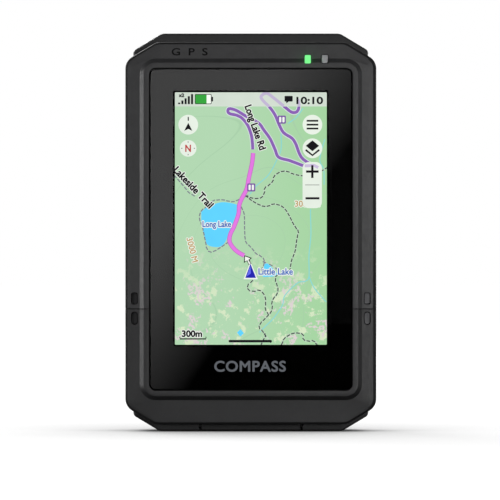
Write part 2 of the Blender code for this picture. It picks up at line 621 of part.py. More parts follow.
def make_cap(materials):
    """Weather cap over the port, turning on a pin at its rear edge, with a plug that fills the well."""
    origin = (0, HINGE_Y, HINGE_Z)
    section = [
        (REAR_FRONT_Y + 0.2, CAP_BOTTOM), (REAR_FRONT_Y, CAP_BOTTOM + 0.2), (REAR_FRONT_Y, CAP_TOP),
        (HINGE_Y - 0.9, CAP_TOP), (HINGE_Y - 0.9, CAP_BOTTOM),
    ]
    cap = prism("usb_cap", section, "X", -CAP_HALF_WIDTH, CAP_HALF_WIDTH, materials["housing"], origin)
    barrel = [(-CAP_HALF_WIDTH + 0.02, BARREL_RADIUS), (CAP_HALF_WIDTH - 0.02, BARREL_RADIUS)]
    add(cap, turned("cap_barrel", barrel, (HINGE_Y, HINGE_Z), "X", None, steps=16))
    plug = obround((0, PORT_Y), (PORT_WELL[0] - 1.1, PORT_WELL[1] - 1.1))
    add(cap, prism("cap_plug", plug, "Z", CAP_TOP - 0.5, CAP_TOP + 1.3, None))
    bore = [(-CAP_HALF_WIDTH - 1, PIN_RADIUS + 0.06), (CAP_HALF_WIDTH + 1, PIN_RADIUS + 0.06)]
    cut(cap, turned("cap_bore", bore, (HINGE_Y, HINGE_Z), "X", None, steps=12))
    pin = [(-RECESS_HALF_WIDTH - 1.0, PIN_RADIUS), (RECESS_HALF_WIDTH + 1.0, PIN_RADIUS)]
    turned("cap_hinge_pin", pin, (HINGE_Y, HINGE_Z), "X", materials["steel"], steps=12)


def make_button(label, side, materials):
    """Side button with its flange and stem, its seal, and the switch that the stem presses."""
    origin = (side * REAR_HALF_WIDTH, BUTTON_Y, BUTTON_Z)
    cap = obround((BUTTON_Y, BUTTON_Z), (BUTTON_WIDTH, BUTTON_LENGTH))
    crown = obround((BUTTON_Y, BUTTON_Z), (BUTTON_WIDTH - 0.7, BUTTON_LENGTH - 0.7))
    flange = obround((BUTTON_Y, BUTTON_Z), (BUTTON_WIDTH + 1.4, BUTTON_LENGTH + 1.4))
    stem = centred((BUTTON_Y, BUTTON_Z), (2 * STEM_RADIUS, 2 * STEM_RADIUS), STEM_RADIUS - 0.01)
    outside = REAR_HALF_WIDTH + BUTTON_PROUD
    loops = [
        placed(stem, "X", side * 22.75), placed(stem, "X", side * 27.0), placed(flange, "X", side * 27.0),
        placed(flange, "X", side * 27.7), placed(cap, "X", side * 27.7),
        placed(cap, "X", side * (outside - 0.35)), placed(crown, "X", side * outside),
    ]
    loft(f"{label}_button", loops, materials["rubber"], origin=origin)
    seal_outer = obround((BUTTON_Y, BUTTON_Z), (5.5, BUTTON_LENGTH + 2.2))
    seal_inner = centred((BUTTON_Y, BUTTON_Z), (3.0, 3.0), 1.49)
    loft(
        f"{label}_button_seal",
        [
            placed(seal_inner, "X", side * 25.0), placed(seal_outer, "X", side * 25.0),
            placed(seal_outer, "X", side * 25.9), placed(seal_inner, "X", side * 25.9),
        ],
        materials["rubber"], ring=True,
    )
    low, high = sorted((side * 18.2, side * 21.6))
    switch = box(
        f"{label}_switch", (low, BOARD_BACK_Y + 0.1, BUTTON_Z - 2.4),
        (high, BUTTON_Y + 1.8, BUTTON_Z + 2.4), materials["steel"],
    )
    pocket = [(side * 20.7, 1.0), (side * 22.5, 1.0)]
    cut(switch, turned(f"{label}_pocket", pocket, (BUTTON_Y, BUTTON_Z), "X", None, steps=12))
    turned(
        f"{label}_switch_plunger", [(side * 21.4, 0.75), (side * 22.6, 0.75)],
        (BUTTON_Y, BUTTON_Z), "X", materials["white"], steps=12, origin=(side * 21.4, BUTTON_Y, BUTTON_Z),
    )


def main():
    for item in list(bpy.data.objects):
        bpy.data.objects.remove(item)
    materials = make_materials()
    make_bezels(materials)
    make_chassis(materials)
    make_rear_housing(materials)
    make_gasket(materials)
    make_spine(materials)
    make_case_screws(materials)
    make_vent(materials)
    make_display(materials)
    make_windows(materials)
    make_board(materials)
    make_antenna(materials)
    make_battery(materials)
    make_port(materials)
    make_cap(materials)
    make_button("power", 1, materials)
    make_button("user", -1, materials)


main()
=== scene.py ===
"""Looks of a handheld satellite navigation unit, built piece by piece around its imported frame.

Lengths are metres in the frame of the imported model: +X is the unit's right seen from the front,
-Y is out of the screen and +Z is up. Outlines of the case lie in the XZ plane and are lofted along Y.
"""

import json
import math

import bmesh
import bpy
from bpy.props import FloatProperty, FloatVectorProperty, IntProperty, PointerProperty
from mathutils import Matrix, Vector


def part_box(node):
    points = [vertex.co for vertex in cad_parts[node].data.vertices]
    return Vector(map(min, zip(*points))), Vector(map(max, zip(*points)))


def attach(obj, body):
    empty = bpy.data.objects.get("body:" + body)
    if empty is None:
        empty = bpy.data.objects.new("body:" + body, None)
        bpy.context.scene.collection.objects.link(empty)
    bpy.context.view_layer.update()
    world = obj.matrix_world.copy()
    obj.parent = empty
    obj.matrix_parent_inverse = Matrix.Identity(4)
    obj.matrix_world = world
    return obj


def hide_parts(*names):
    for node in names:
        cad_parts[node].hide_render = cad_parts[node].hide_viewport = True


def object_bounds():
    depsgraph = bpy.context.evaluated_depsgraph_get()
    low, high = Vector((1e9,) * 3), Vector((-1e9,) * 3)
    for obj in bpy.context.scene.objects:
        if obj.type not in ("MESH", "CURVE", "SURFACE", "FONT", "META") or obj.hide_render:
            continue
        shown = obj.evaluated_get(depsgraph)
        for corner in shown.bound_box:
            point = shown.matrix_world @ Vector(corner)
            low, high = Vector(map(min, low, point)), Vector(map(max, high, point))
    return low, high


bl_info = {
    "name": "Handheld Navigation Unit",
    "version": (1, 0, 0),
    "blender": (4, 5, 0),
    "location": "View3D > Sidebar > Navigation Unit",
    "description": "Builds the visible pieces of a handheld navigation unit around its frame",
    "category": "Object",
}

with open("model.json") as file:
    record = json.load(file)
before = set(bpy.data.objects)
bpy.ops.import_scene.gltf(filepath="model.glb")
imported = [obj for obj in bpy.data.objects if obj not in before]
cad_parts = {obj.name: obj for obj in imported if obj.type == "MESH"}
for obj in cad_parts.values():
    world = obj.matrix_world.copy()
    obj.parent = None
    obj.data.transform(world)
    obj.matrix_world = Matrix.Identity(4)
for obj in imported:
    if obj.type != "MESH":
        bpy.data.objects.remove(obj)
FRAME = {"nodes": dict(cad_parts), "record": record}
CAD_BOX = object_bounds()
MM = 0.001
SIDES = (-1, 1)
BEZEL_BACK = -6.8 * MM
BEZEL_WALL = 1.6 * MM
CHAMFER_ANGLE = 59.0
LEAST_RADIUS = 0.00025
CREASE_HALF = 0.0006
PANEL_GAP = 0.00002
WHITE = (1, 1, 1, 1)
BLACK = (0, 0, 0, 1)
FLAT = 0.999
SHADOW_REACH = 0.16
SHADOW_POWER = 1.5


# ---------------------------------------------------------------- settings

def length(name, text, default):
    return FloatProperty(name=name, description=text, default=default, min=0.0, unit="LENGTH", precision=5)


def colour(name, text, default):
    return FloatVectorProperty(
        name=name, description=text, default=default, size=3, min=0.0, max=1.0, subtype="COLOR"
    )


def offset(name, text, default):
    return FloatProperty(name=name, description=text, default=default, unit="LENGTH")


def power(name, text, default):
    return FloatProperty(name=name, description=text, default=default, unit="POWER")


class GPSUNIT_PG_case(bpy.types.PropertyGroup):
    """Sizes of the case."""

    bezel_half_width: length("Bezel half width", "Half the width of the front bezel", 0.0324)
    bezel_bottom: length("Bezel bottom", "Height of the bezel's lower edge", 0.0019)
    bezel_top: length("Bezel top", "Height of the bezel's upper edge", 0.10055)
    bezel_low_chamfer: length("Bezel low chamfer", "Where the bezel's lower chamfers start", 0.0248)
    bezel_high_chamfer: length("Bezel high chamfer", "Where the bezel's upper chamfers start", 0.0244)
    rear_half_width: length("Housing half width", "Half the width of the rear housing", 0.03045)
    rear_low_chamfer: length("Housing low chamfer", "Where the housing's lower chamfers start", 0.0237)
    rear_high_chamfer: length("Housing high chamfer", "Where the housing's upper chamfers start", 0.0231)
    opening_half_width: length("Opening half width", "Half the width of the screen opening", 0.0262)
    opening_bottom: length("Opening bottom", "Height of the opening's lower edge", 0.01065)
    opening_top: length("Opening top", "Height of the opening's upper edge", 0.0938)
    opening_radius: length("Opening corner", "Corner radius of the opening", 0.0017)
    crease_x: length("Facet crease", "Where the bezel's flat facets turn into its corners", 0.023)
    seam_z: length("Seam height", "Height of the seam between the bezels", 0.0317)
    seam_gap: length("Seam gap", "Width of the seam between the bezels", 0.0003)
    arc_steps: IntProperty(name="Arc steps", description="Flat runs in each arc", default=10, min=2, max=32)


class GPSUNIT_PG_screen(bpy.types.PropertyGroup):
    """Sizes and brightness of the lit screen."""

    half_width: length("Screen half width", "Half the width of the lit area", 0.0196)
    bottom: length("Screen bottom", "Height of the lit area's lower edge", 0.02245)
    top: length("Screen top", "Height of the lit area's upper edge", 0.0876)
    layer: length("Layer step", "Depth between two drawn layers", 0.00003)
    brightness: FloatProperty(name="Brightness", description="Light of the screen", default=1.04, min=0.0)
    road_width: length("Road width", "Width of a drawn road", 0.00078)
    route_width: length("Route width", "Width of the highlighted route", 0.00098)
    dash_pitch: length("Dash pitch", "Distance between two dashes of a trail", 0.00128)
    dash_length: length("Dash length", "Length of a trail's dash", 0.00098)
    dash_width: length("Dash width", "Width of a trail's dash", 0.00029)


class GPSUNIT_PG_finish(bpy.types.PropertyGroup):
    """Colours of the main finishes."""

    bezel: colour("Bezel", "Moulded plastic of the upper bezel", (0.026, 0.026, 0.0275))
    lower_bezel: colour("Lower bezel", "Moulded plastic of the lower bezel", (0.015, 0.015, 0.016))
    housing: colour("Housing", "Moulded plastic of the rear housing", (0.0105, 0.0105, 0.0112))
    rubber: colour("Rubber", "Buttons, cap and gaskets", (0.012, 0.012, 0.0125))
    lamp: colour("Lamp", "Light of the status lamp", (0.22, 1.0, 0.3))
    land: colour("Land", "Map land", (0.45, 0.69, 0.45))
    # Colour of the print, drawn self-lit as painted light that stands in for the light falling on it under
    # the glass.
    print_grey: colour("Print", "Lettering printed behind the glass", (0.12, 0.13, 0.145))


class GPSUNIT_PG_studio(bpy.types.PropertyGroup):
    """Camera and lights."""

    distance: length("Camera distance", "From the camera to the bezel's face", 1.5)
    frame_width: length("Frame width", "Width of the picture at the bezel's face", 0.129)
    aim_x: offset("Aim across", "Centre of the picture", -0.00022)
    aim_z: offset("Aim height", "Centre of the picture", 0.0469)
    side_power: power("Side power", "Power of the left strip light", 8.3)
    front_power: power("Front power", "Power of the light beside the camera", 3.1)
    fill_power: power("Fill power", "Power of the lights at the front corners", 4.0)
    back_power: power("Back power", "Power of the lights behind", 40.0)


# ---------------------------------------------------------------- outlines

def arc(centre, radius, start, end, steps):
    """Points along an arc, angles in degrees."""
    turns = [math.radians(start + (end - start) * i / steps) for i in range(steps + 1)]
    return [(centre[0] + radius * math.cos(t), centre[1] + radius * math.sin(t)) for t in turns]


def fillet_centre(first, second, radius):
    """Centre of the fillet between two lines, each (angle of the outward normal, distance from 0)."""
    (a, da), (b, db) = ((math.radians(angle), distance - radius) for angle, distance in (first, second))
    det = math.cos(a) * math.sin(b) - math.sin(a) * math.cos(b)
    return (
        (da * math.sin(b) - db * math.sin(a)) / det,
        (db * math.cos(a) - da * math.cos(b)) / det,
    )


def chamfered_outline(half_width, bottom, top, chamfers, radii, inset, steps):
    """Upright outline with chamfered corners, moved inwards by inset, anticlockwise from the right."""
    angle = CHAMFER_ANGLE
    normal = math.radians(angle)
    below = chamfers[0] * math.cos(normal) - bottom * math.sin(normal)
    above = chamfers[1] * math.cos(normal) + top * math.sin(normal)
    lines = [
        (0, half_width), (angle, above), (90, top), (180 - angle, above), (180, half_width),
        (180 + angle, below), (270, -bottom), (360 - angle, below), (360, half_width),
    ]
    lines = [(turn, distance - inset) for turn, distance in lines]
    side, cap = radii
    points = []
    for first, second, radius in zip(lines, lines[1:], (side, cap, cap, side, side, cap, cap, side)):
        radius = max(radius - inset, LEAST_RADIUS)
        points += arc(fillet_centre(first, second, radius), radius, first[0], second[0], steps)
    return points


def rounded_outline(half_width, bottom, top, radius, grow, crease_x, steps):
    """Rounded rectangle with as many points as a chamfered outline, with creases near crease_x."""
    width, low, high = half_width + grow, bottom - grow, top + grow
    radius = max(radius + grow, LEAST_RADIUS)
    middle = min(crease_x, width - radius - 0.001)
    crease = [middle + CREASE_HALF - 2 * CREASE_HALF * i / steps for i in range(steps + 1)]
    right_top = arc((width - radius, high - radius), radius, 0, 90, steps) + [(x, high) for x in crease]
    right_bottom = arc((width - radius, low + radius), radius, 0, -90, steps) + [(x, low) for x in crease]
    left_top = [(-x, z) for x, z in reversed(right_top)]
    left_bottom = [(-x, z) for x, z in right_bottom]
    return right_top + left_top + left_bottom + list(reversed(right_bottom))


def bezel_outline(case, inset):
    return chamfered_outline(
        case.bezel_half_width, case.bezel_bottom, case.bezel_top,
        (case.bezel_low_chamfer, case.bezel_high_chamfer), (0.0036, 0.004), inset, case.arc_steps,
    )


def rear_outline(case, inset):
    top = CAD_BOX[1][2]
    return chamfered_outline(
        case.rear_half_width, 0.0, top, (case.rear_low_chamfer, case.rear_high_chamfer),
        (0.0014, 0.003), inset, case.arc_steps,
    )


def opening_outline(case, grow):
    return rounded_outline(
        case.opening_half_width, case.opening_bottom, case.opening_top, case.opening_radius,
        grow, case.crease_x, case.arc_steps,
    )


def rounded_box(centre, size, radius, steps=6):
    """Rounded rectangle around a centre, anticlockwise."""
    x, z = size[0] / 2 - radius, size[1] / 2 - radius
    corners = (((x, z), 0), ((-x, z), 90), ((-x, -z), 180), ((x, -z), 270))
    return [
        (centre[0] + px, centre[1] + pz)
        for (cx, cz), start in corners
        for px, pz in arc((cx, cz), radius, start, start + 90, steps)
    ]


def circle(centre, radius, steps=32):
    return arc(centre, radius, 0, 360, steps)[:-1]


def mm(pairs):
    """Pairs of millimetres, in metres."""
    return [(a * MM, b * MM) for a, b in pairs]


def placed(outline, axis, depth):
    """An outline's points in space. Along X it holds (y, z), along Y (x, z) and along Z (x, y)."""
    if axis == "X":
        return [(depth, a, b) for a, b in outline]
    if axis == "Y":
        return [(a, depth, b) for a, b in outline]
    return [(a, b, depth) for a, b in outline]


def front_of(node):
    """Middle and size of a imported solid, as it is seen from the front."""
    low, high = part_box(node)
    return ((low.x + high.x) / 2, (low.z + high.z) / 2), (high.x - low.x, high.z - low.z)


# ---------------------------------------------------------------- mesh work

def new_object(name, mesh, material=None):
    data = bpy.data.meshes.new(name)
    mesh.to_mesh(data)
    mesh.free()
    if material:
        data.materials.append(material)
    item = bpy.data.objects.new(name, data)
    bpy.context.scene.collection.objects.link(item)
    return item


def smooth(item, angle=30):
    item.data.shade_smooth()
    item.data.set_sharp_from_angle(angle=math.radians(angle))


def loft(name, loops, material=None, ring=False, angle=30):
    """A closed solid through loops of equally many points: capped at its ends, or joined in a ring."""
    mesh = bmesh.new()
    rows = [[mesh.verts.new(p) for p in loop] for loop in loops]
    count = len(rows[0])
    for lower, upper in list(zip(rows, rows[1:])) + ([(rows[-1], rows[0])] if ring else []):
        for i in range(count):
            j = (i + 1) % count
            mesh.faces.new((lower[i], lower[j], upper[j], upper[i]))
    if not ring:
        mesh.faces.new(rows[0])
        mesh.faces.new(rows[-1])
    bmesh.ops.recalc_face_normals(mesh, faces=mesh.faces)
    item = new_object(name, mesh, material)
    smooth(item, angle)
    return item


def prism(name, outline, axis, start, end, material=None):
    return loft(name, [placed(outline, axis, d) for d in (start, end)], material)


def turned(name, profile, centre, axis, material=None, steps=40):
    """Round solid from (depth along the axis, radius) pairs."""
    return loft(name, [placed(circle(centre, radius, steps), axis, d) for d, radius in profile], material)


def plain_mesh(item, name=None):
    """The object as its modifiers leave it, as a plain mesh without modifiers."""
    evaluated = item.evaluated_get(bpy.context.evaluated_depsgraph_get())
    data = bpy.data.meshes.new_from_object(evaluated)
    item.modifiers.clear()
    if item.type == "MESH":
        item.data = data
        return item
    solid = bpy.data.objects.new(name or item.name, data)
    bpy.context.scene.collection.objects.link(solid)
    return solid


def combine(item, tools, operation="DIFFERENCE"):
    """Cuts or joins helper solids with an object and removes them."""
    for tool in tools:
        step = item.modifiers.new(tool.name, "BOOLEAN")
        step.operation = operation
        step.object = tool
        step.material_mode = "TRANSFER"
    plain_mesh(item)
    for tool in tools:
        bpy.data.objects.remove(tool)


def round_edges(item, width, segments=3, angle=35):
    """Bevels the sharp edges and keeps flat faces flat."""
    bevel = item.modifiers.new("edges", "BEVEL")
    bevel.width = width
    bevel.segments = segments
    bevel.limit_method = "ANGLE"
    bevel.angle_limit = math.radians(angle)
    bevel.harden_normals = True
    bevel.miter_outer = "MITER_ARC"
    plain_mesh(item)


def keep_side(item, height, above):
    """Cuts a ring at a height, keeps one side of it and closes the cut."""
    mesh = bmesh.new()
    mesh.from_mesh(item.data)
    found = bmesh.ops.bisect_plane(
        mesh, geom=list(mesh.verts) + list(mesh.edges) + list(mesh.faces),
        plane_co=(0, 0, height), plane_no=(0, 0, 1), clear_inner=above, clear_outer=not above,
    )
    bmesh.ops.holes_fill(mesh, edges=[g for g in found["geom_cut"] if isinstance(g, bmesh.types.BMEdge)])
    bmesh.ops.recalc_face_normals(mesh, faces=mesh.faces)
    mesh.to_mesh(item.data)
    mesh.free()
    smooth(item)


def letters(name, text, size, depth=0.0, bold=0.0, spacing=1.0):
    """Upright letters in the XZ plane that fill a (width, height), centred on the origin, facing the front.
    Bold letters keep that size and have their strokes thickened on every side."""
    curve = bpy.data.curves.new(name, "FONT")
    curve.body = text
    curve.resolution_u = 4
    curve.space_character = spacing
    writing = bpy.data.objects.new(name, curve)
    bpy.context.scene.collection.objects.link(writing)
    bpy.context.view_layer.update()
    natural = Vector(writing.dimensions)
    curve.offset = bold / (size[1] / natural.y)
    curve.extrude = depth / 2
    bpy.context.view_layer.update()
    solid = plain_mesh(writing, f"{name}_mesh")
    bpy.data.objects.remove(writing)
    mesh = bmesh.new()
    mesh.from_mesh(solid.data)
    bmesh.ops.remove_doubles(mesh, verts=mesh.verts, dist=1e-6)
    spans = [[v.co[axis] for v in mesh.verts] for axis in (0, 1)]
    middle = Vector([(min(span) + max(span)) / 2 for span in spans] + [0])
    fit = Matrix.Diagonal((size[0] / natural.x, size[1] / natural.y, 1, 1))
    upright = Matrix.Rotation(math.radians(90), 4, "X")
    bmesh.ops.transform(mesh, matrix=upright @ fit @ Matrix.Translation(-middle), verts=mesh.verts)
    mesh.to_mesh(solid.data)
    mesh.free()
    return solid


def stamped(mesh, data, radius, place=(0, 0, 0)):
    """Adds flat letters to a mesh, with their strokes thickened by a ring of copies."""
    ring = [(0.0, 0.0)] + (circle((0, 0), radius, 10) if radius else [])
    for dx, dz in ring:
        copy = data.copy()
        copy.transform(Matrix.Translation((place[0] + dx, place[1], place[2] + dz)))
        mesh.from_mesh(copy)
        bpy.data.meshes.remove(copy)


def facing_front(data):
    """Turns every face of flat artwork towards the front."""
    mesh = bmesh.new()
    mesh.from_mesh(data)
    for face in mesh.faces:
        face.normal_update()
        if face.normal.y > 0:
            face.normal_flip()
    mesh.to_mesh(data)
    mesh.free()


def keep(item, name, body, replaced=()):
    """Names a finished piece, lets it ride on its body and hides the imported solids it stands for."""
    item.name = name
    item.data.name = name
    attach(item, body)
    if replaced:
        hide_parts(*replaced)
    return item


# ---------------------------------------------------------------- repeated shapes

def new_tree(name, sockets):
    """Geometry Nodes group with a geometry input and output, a material input and the given inputs."""
    tree = bpy.data.node_groups.new(name, "GeometryNodeTree")
    for label, kind in (("Geometry", "Geometry"), *sockets, ("Material", "Material")):
        tree.interface.new_socket(label, in_out="INPUT", socket_type=f"NodeSocket{kind}")
    tree.interface.new_socket("Geometry", in_out="OUTPUT", socket_type="NodeSocketGeometry")
    return tree


def connect(tree, joints):
    """Links nodes, each joint given as (node, output, node, input)."""
    for source, output, target, socket in joints:
        tree.links.new(source.outputs[output], target.inputs[socket])


def end_tree(tree, given, spread):
    """Makes the instances real, gives them the material and ends the tree."""
    real = tree.nodes.new("GeometryNodeRealizeInstances")
    paint = tree.nodes.new("GeometryNodeSetMaterial")
    result = tree.nodes.new("NodeGroupOutput")
    connect(tree, (
        (spread, "Instances", real, "Geometry"), (real, "Geometry", paint, "Geometry"),
        (given, "Material", paint, "Material"), (paint, "Geometry", result, "Geometry"),
    ))


def repeat_tree():
    """Geometry Nodes group that sets a template on every point of its own mesh."""
    name = "repeat_on_points"
    if name in bpy.data.node_groups:
        return bpy.data.node_groups[name]
    tree = new_tree(name, (("Template", "Object"), ("Turn", "Vector")))
    given = tree.nodes.new("NodeGroupInput")
    points = tree.nodes.new("GeometryNodeMeshToPoints")
    template = tree.nodes.new("GeometryNodeObjectInfo")
    spread = tree.nodes.new("GeometryNodeInstanceOnPoints")
    connect(tree, (
        (given, "Geometry", points, "Mesh"), (given, "Template", template, "Object"),
        (points, "Points", spread, "Points"), (template, "Geometry", spread, "Instance"),
        (given, "Turn", spread, "Rotation"),
    ))
    end_tree(tree, given, spread)
    return tree


def dash_tree():
    """Geometry Nodes group that lays dashes along the edges of its own mesh."""
    name = "dashes_along_paths"
    if name in bpy.data.node_groups:
        return bpy.data.node_groups[name]
    tree = new_tree(name, [(label, "Float") for label in ("Pitch", "Dash Length", "Dash Width")])
    nodes = tree.nodes
    given = nodes.new("NodeGroupInput")
    path = nodes.new("GeometryNodeMeshToCurve")
    even = nodes.new("GeometryNodeResampleCurve")
    even.mode = "LENGTH"
    tangent = nodes.new("GeometryNodeInputTangent")
    turn = nodes.new("FunctionNodeAlignRotationToVector")
    turn.axis = "X"
    turn.pivot_axis = "Y"
    dash = nodes.new("GeometryNodeMeshGrid")
    dash.inputs["Vertices X"].default_value = 2
    dash.inputs["Vertices Y"].default_value = 2
    stand = nodes.new("GeometryNodeTransform")
    stand.inputs["Rotation"].default_value = (math.radians(90), 0, 0)
    spread = nodes.new("GeometryNodeInstanceOnPoints")
    connect(tree, (
        (given, "Geometry", path, "Mesh"), (path, "Curve", even, "Curve"),
        (given, "Pitch", even, "Length"), (given, "Dash Length", dash, "Size X"),
        (given, "Dash Width", dash, "Size Y"), (dash, "Mesh", stand, "Geometry"),
        (even, "Curve", spread, "Points"), (stand, "Geometry", spread, "Instance"),
        (tangent, "Tangent", turn, "Vector"), (turn, "Rotation", spread, "Rotation"),
    ))
    end_tree(tree, given, spread)
    return tree


def run_tree(item, tree, values):
    """Sets a tree's named inputs on an object and turns the result into a plain mesh."""
    step = item.modifiers.new(tree.name, "NODES")
    step.node_group = tree
    sockets = {s.name: s.identifier for s in tree.interface.items_tree if s.in_out == "INPUT"}
    for label, value in values.items():
        step[sockets[label]] = value
    return plain_mesh(item)


def repeat(name, template, points, material, turn=(0, 0, 0)):
    """A template solid, which is removed, set on every point."""
    mesh = bmesh.new()
    for point in points:
        mesh.verts.new(point)
    item = new_object(name, mesh)
    values = {"Template": template, "Turn": turn, "Material": material}
    run_tree(item, repeat_tree(), values)
    bpy.data.objects.remove(template)
    smooth(item)
    return item


# ---------------------------------------------------------------- finishes

def shader_of(name):
    """A new material with its node tree and its shader."""
    material = bpy.data.materials.new(name)
    material.use_nodes = True
    return material, material.node_tree, material.node_tree.nodes["Principled BSDF"]


def set_inputs(node, values):
    for label, value in values.items():
        node.inputs[label].default_value = value


def noise(tree, scale, detail=2.0, roughness=0.5):
    """Noise on the piece's own coordinates."""
    place = tree.nodes.new("ShaderNodeTexCoord")
    texture = tree.nodes.new("ShaderNodeTexNoise")
    set_inputs(texture, {"Scale": scale, "Detail": detail, "Roughness": roughness})
    tree.links.new(place.outputs["Object"], texture.inputs["Vector"])
    return texture.outputs["Fac"]


def axes(tree, coordinates):
    """The X, Y and Z of texture coordinates."""
    place = tree.nodes.new("ShaderNodeTexCoord")
    apart = tree.nodes.new("ShaderNodeSeparateXYZ")
    tree.links.new(place.outputs[coordinates], apart.inputs["Vector"])
    return apart.outputs


def ramp(tree, value, low, high, start=0.35, end=0.65):
    """Maps a value to a colour or grey between two ends."""
    blend = tree.nodes.new("ShaderNodeValToRGB")
    blend.color_ramp.elements[0].position = start
    blend.color_ramp.elements[1].position = end
    blend.color_ramp.elements[0].color = (*low, 1)
    blend.color_ramp.elements[1].color = (*high, 1)
    tree.links.new(value, blend.inputs["Fac"])
    return blend.outputs["Color"]


def span(tree, value, low, high, first=0.0, last=1.0, clamp=True):
    """A value from low to high, mapped to first to last."""
    mapped = tree.nodes.new("ShaderNodeMapRange")
    mapped.clamp = clamp
    set_inputs(mapped, {"From Min": low, "From Max": high, "To Min": first, "To Max": last})
    tree.links.new(value, mapped.inputs["Value"])
    return mapped.outputs["Result"]


def calculate(tree, operation, first, second):
    """A sum, product or other operation on a value and on a second value or a number."""
    node = tree.nodes.new("ShaderNodeMath")
    node.operation = operation
    tree.links.new(first, node.inputs[0])
    if isinstance(second, float):
        node.inputs[1].default_value = second
    else:
        tree.links.new(second, node.inputs[1])
    return node.outputs["Value"]


def grey(value):
    return (value, value, value)


def scaled(tone, factor):
    return tuple(min(c * factor, 1.0) for c in tone)


def surface(name, tone, roughness, grain, height, metallic=0.0, spread=0.1, bumps=0.3, gloss=0.5):
    """Opaque finish with fine grain, a little variation of tone and of gloss."""
    material, tree, shader = shader_of(name)
    set_inputs(shader, {"Specular IOR Level": gloss, "Metallic": metallic})
    shade = ramp(tree, noise(tree, grain / 14, 4.0), scaled(tone, 1 - spread), scaled(tone, 1 + spread))
    polish = ramp(tree, noise(tree, grain / 3, 3.0), grey(roughness - 0.04), grey(roughness + 0.04))
    bump = tree.nodes.new("ShaderNodeBump")
    set_inputs(bump, {"Strength": bumps, "Distance": height})
    tree.links.new(noise(tree, grain, 3.0, 0.6), bump.inputs["Height"])
    for value, label in ((shade, "Base Color"), (polish, "Roughness"), (bump.outputs["Normal"], "Normal")):
        tree.links.new(value, shader.inputs[label])
    return material


def lit(name, tone, strength, speck=0.03):
    """Self-lit finish with a faint unevenness of the backlight."""
    material, tree, shader = shader_of(name)
    set_inputs(shader, {
        "Base Color": BLACK, "Roughness": 0.6, "Specular IOR Level": 0.0, "Emission Strength": strength,
    })
    shade = ramp(tree, noise(tree, 120, 2.0), scaled(tone, 1 - speck), scaled(tone, 1 + speck))
    tree.links.new(shade, shader.inputs["Emission Color"])
    return material


def ink(name, tone):
    """Flat ink behind the glass, without gloss of its own."""
    material, tree, shader = shader_of(name)
    shade = ramp(tree, noise(tree, 900, 2.0), scaled(tone, 0.9), scaled(tone, 1.1))
    tree.links.new(shade, shader.inputs["Base Color"])
    set_inputs(shader, {"Roughness": 0.9, "Specular IOR Level": 0.0})
    return material


def finishes():
    """The finishes of the case, made once."""
    if "bezel_plastic_fine" in bpy.data.materials:
        return {m.name: m for m in bpy.data.materials}
    tones = bpy.context.scene.gps_finish
    surface("bezel_plastic_fine", tones.bezel, 0.5, 5200, 0.00002)
    surface("lower_bezel_plastic", tones.lower_bezel, 0.52, 5200, 0.00002)
    # Dark outer rounding of the bezels: painted shade.
    surface("bezel_side_band", scaled(tones.rubber, 0.7), 0.72, 6500, 0.00003, gloss=0.3)
    # Darker copy of the bezel plastic for the walls of slots, windows and pressed letters and for the rim's
    # inner wall: painted shade.
    surface("bezel_recess", scaled(tones.bezel, 0.2), 0.75, 5200, 0.00003, gloss=0.12)
    # Floors of the lanyard slots: lit and shaded copies of the bezel plastic, painted shade on the left and
    # painted light on the right.
    surface("slot_floor_shaded", scaled(tones.bezel, 1.5), 0.7, 5200, 0.00003, gloss=0.4)
    surface("slot_floor_pale", scaled(tones.bezel, 4.4), 0.55, 5200, 0.00003)
    surface("housing_plastic_fine", tones.housing, 0.56, 4200, 0.00003)
    surface("housing_panel_texture", scaled(tones.housing, 0.85), 0.66, 2100, 0.00008, bumps=0.6)
    surface("soft_rubber", tones.rubber, 0.7, 6500, 0.00003)
    surface("chassis_plastic_dark", (0.004, 0.004, 0.004), 0.8, 3000, 0.00003)
    surface("zinc_steel", (0.5, 0.5, 0.52), 0.36, 2500, 0.00001, metallic=1.0, spread=0.08)
    surface("black_oxide_steel", (0.09, 0.09, 0.095), 0.38, 2500, 0.00001, metallic=1.0)
    surface("solder_mask", (0.012, 0.09, 0.04), 0.35, 1800, 0.00001)
    surface("fired_ceramic", (0.62, 0.54, 0.42), 0.5, 2600, 0.00002)
    surface("cell_wrap", (0.04, 0.06, 0.12), 0.32, 900, 0.00002)
    surface("amber_film", (0.42, 0.2, 0.03), 0.3, 1500, 0.00001)
    surface("white_plastic", (0.7, 0.7, 0.66), 0.42, 2400, 0.00002)
    surface("sensor_window", (0.43, 0.43, 0.45), 0.36, 2400, 0.00001)
    ink("ink_black", (0.0008, 0.0008, 0.0009))
    lit("lamp_green", tones.lamp, 1.0)
    # The printed lettering glows: painted light.
    lit("print_grey", tones.print_grey, 1.0)
    for name, index in (("clear_glass", 1.5), ("coated_glass", 1.0)):
        _, _, shader = shader_of(name)
        set_inputs(shader, {"Base Color": WHITE, "Roughness": 0.0, "IOR": index, "Transmission Weight": 1.0})
    return {m.name: m for m in bpy.data.materials}


FINISH_OF_SLOT = {
    "bezel": "bezel_plastic_fine", "housing": "housing_plastic_fine", "chassis": "chassis_plastic_dark",
    "rubber": "soft_rubber", "cover_glass": "clear_glass", "screen": "white_plastic",
    "diffuser": "white_plastic", "steel": "zinc_steel", "circuit_board": "solder_mask",
    "ceramic": "fired_ceramic", "battery": "cell_wrap", "ribbon": "amber_film",
    "green_window": "lamp_green", "grey_window": "sensor_window", "switch_plastic": "white_plastic",
}


class GPSUNIT_OT_frame_finishes(bpy.types.Operator):
    """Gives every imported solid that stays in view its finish"""

    bl_idname = "gps_unit.frame_finishes"
    bl_label = "Frame Finishes"

    def execute(self, context):
        made = finishes()
        for entry in FRAME["record"]["subparts"]:
            item = FRAME["nodes"][entry["node"]]
            item.data.materials.clear()
            item.data.materials.append(made[FINISH_OF_SLOT[entry["material_slot"]]])
        return {"FINISHED"}


# ---------------------------------------------------------------- front of the case

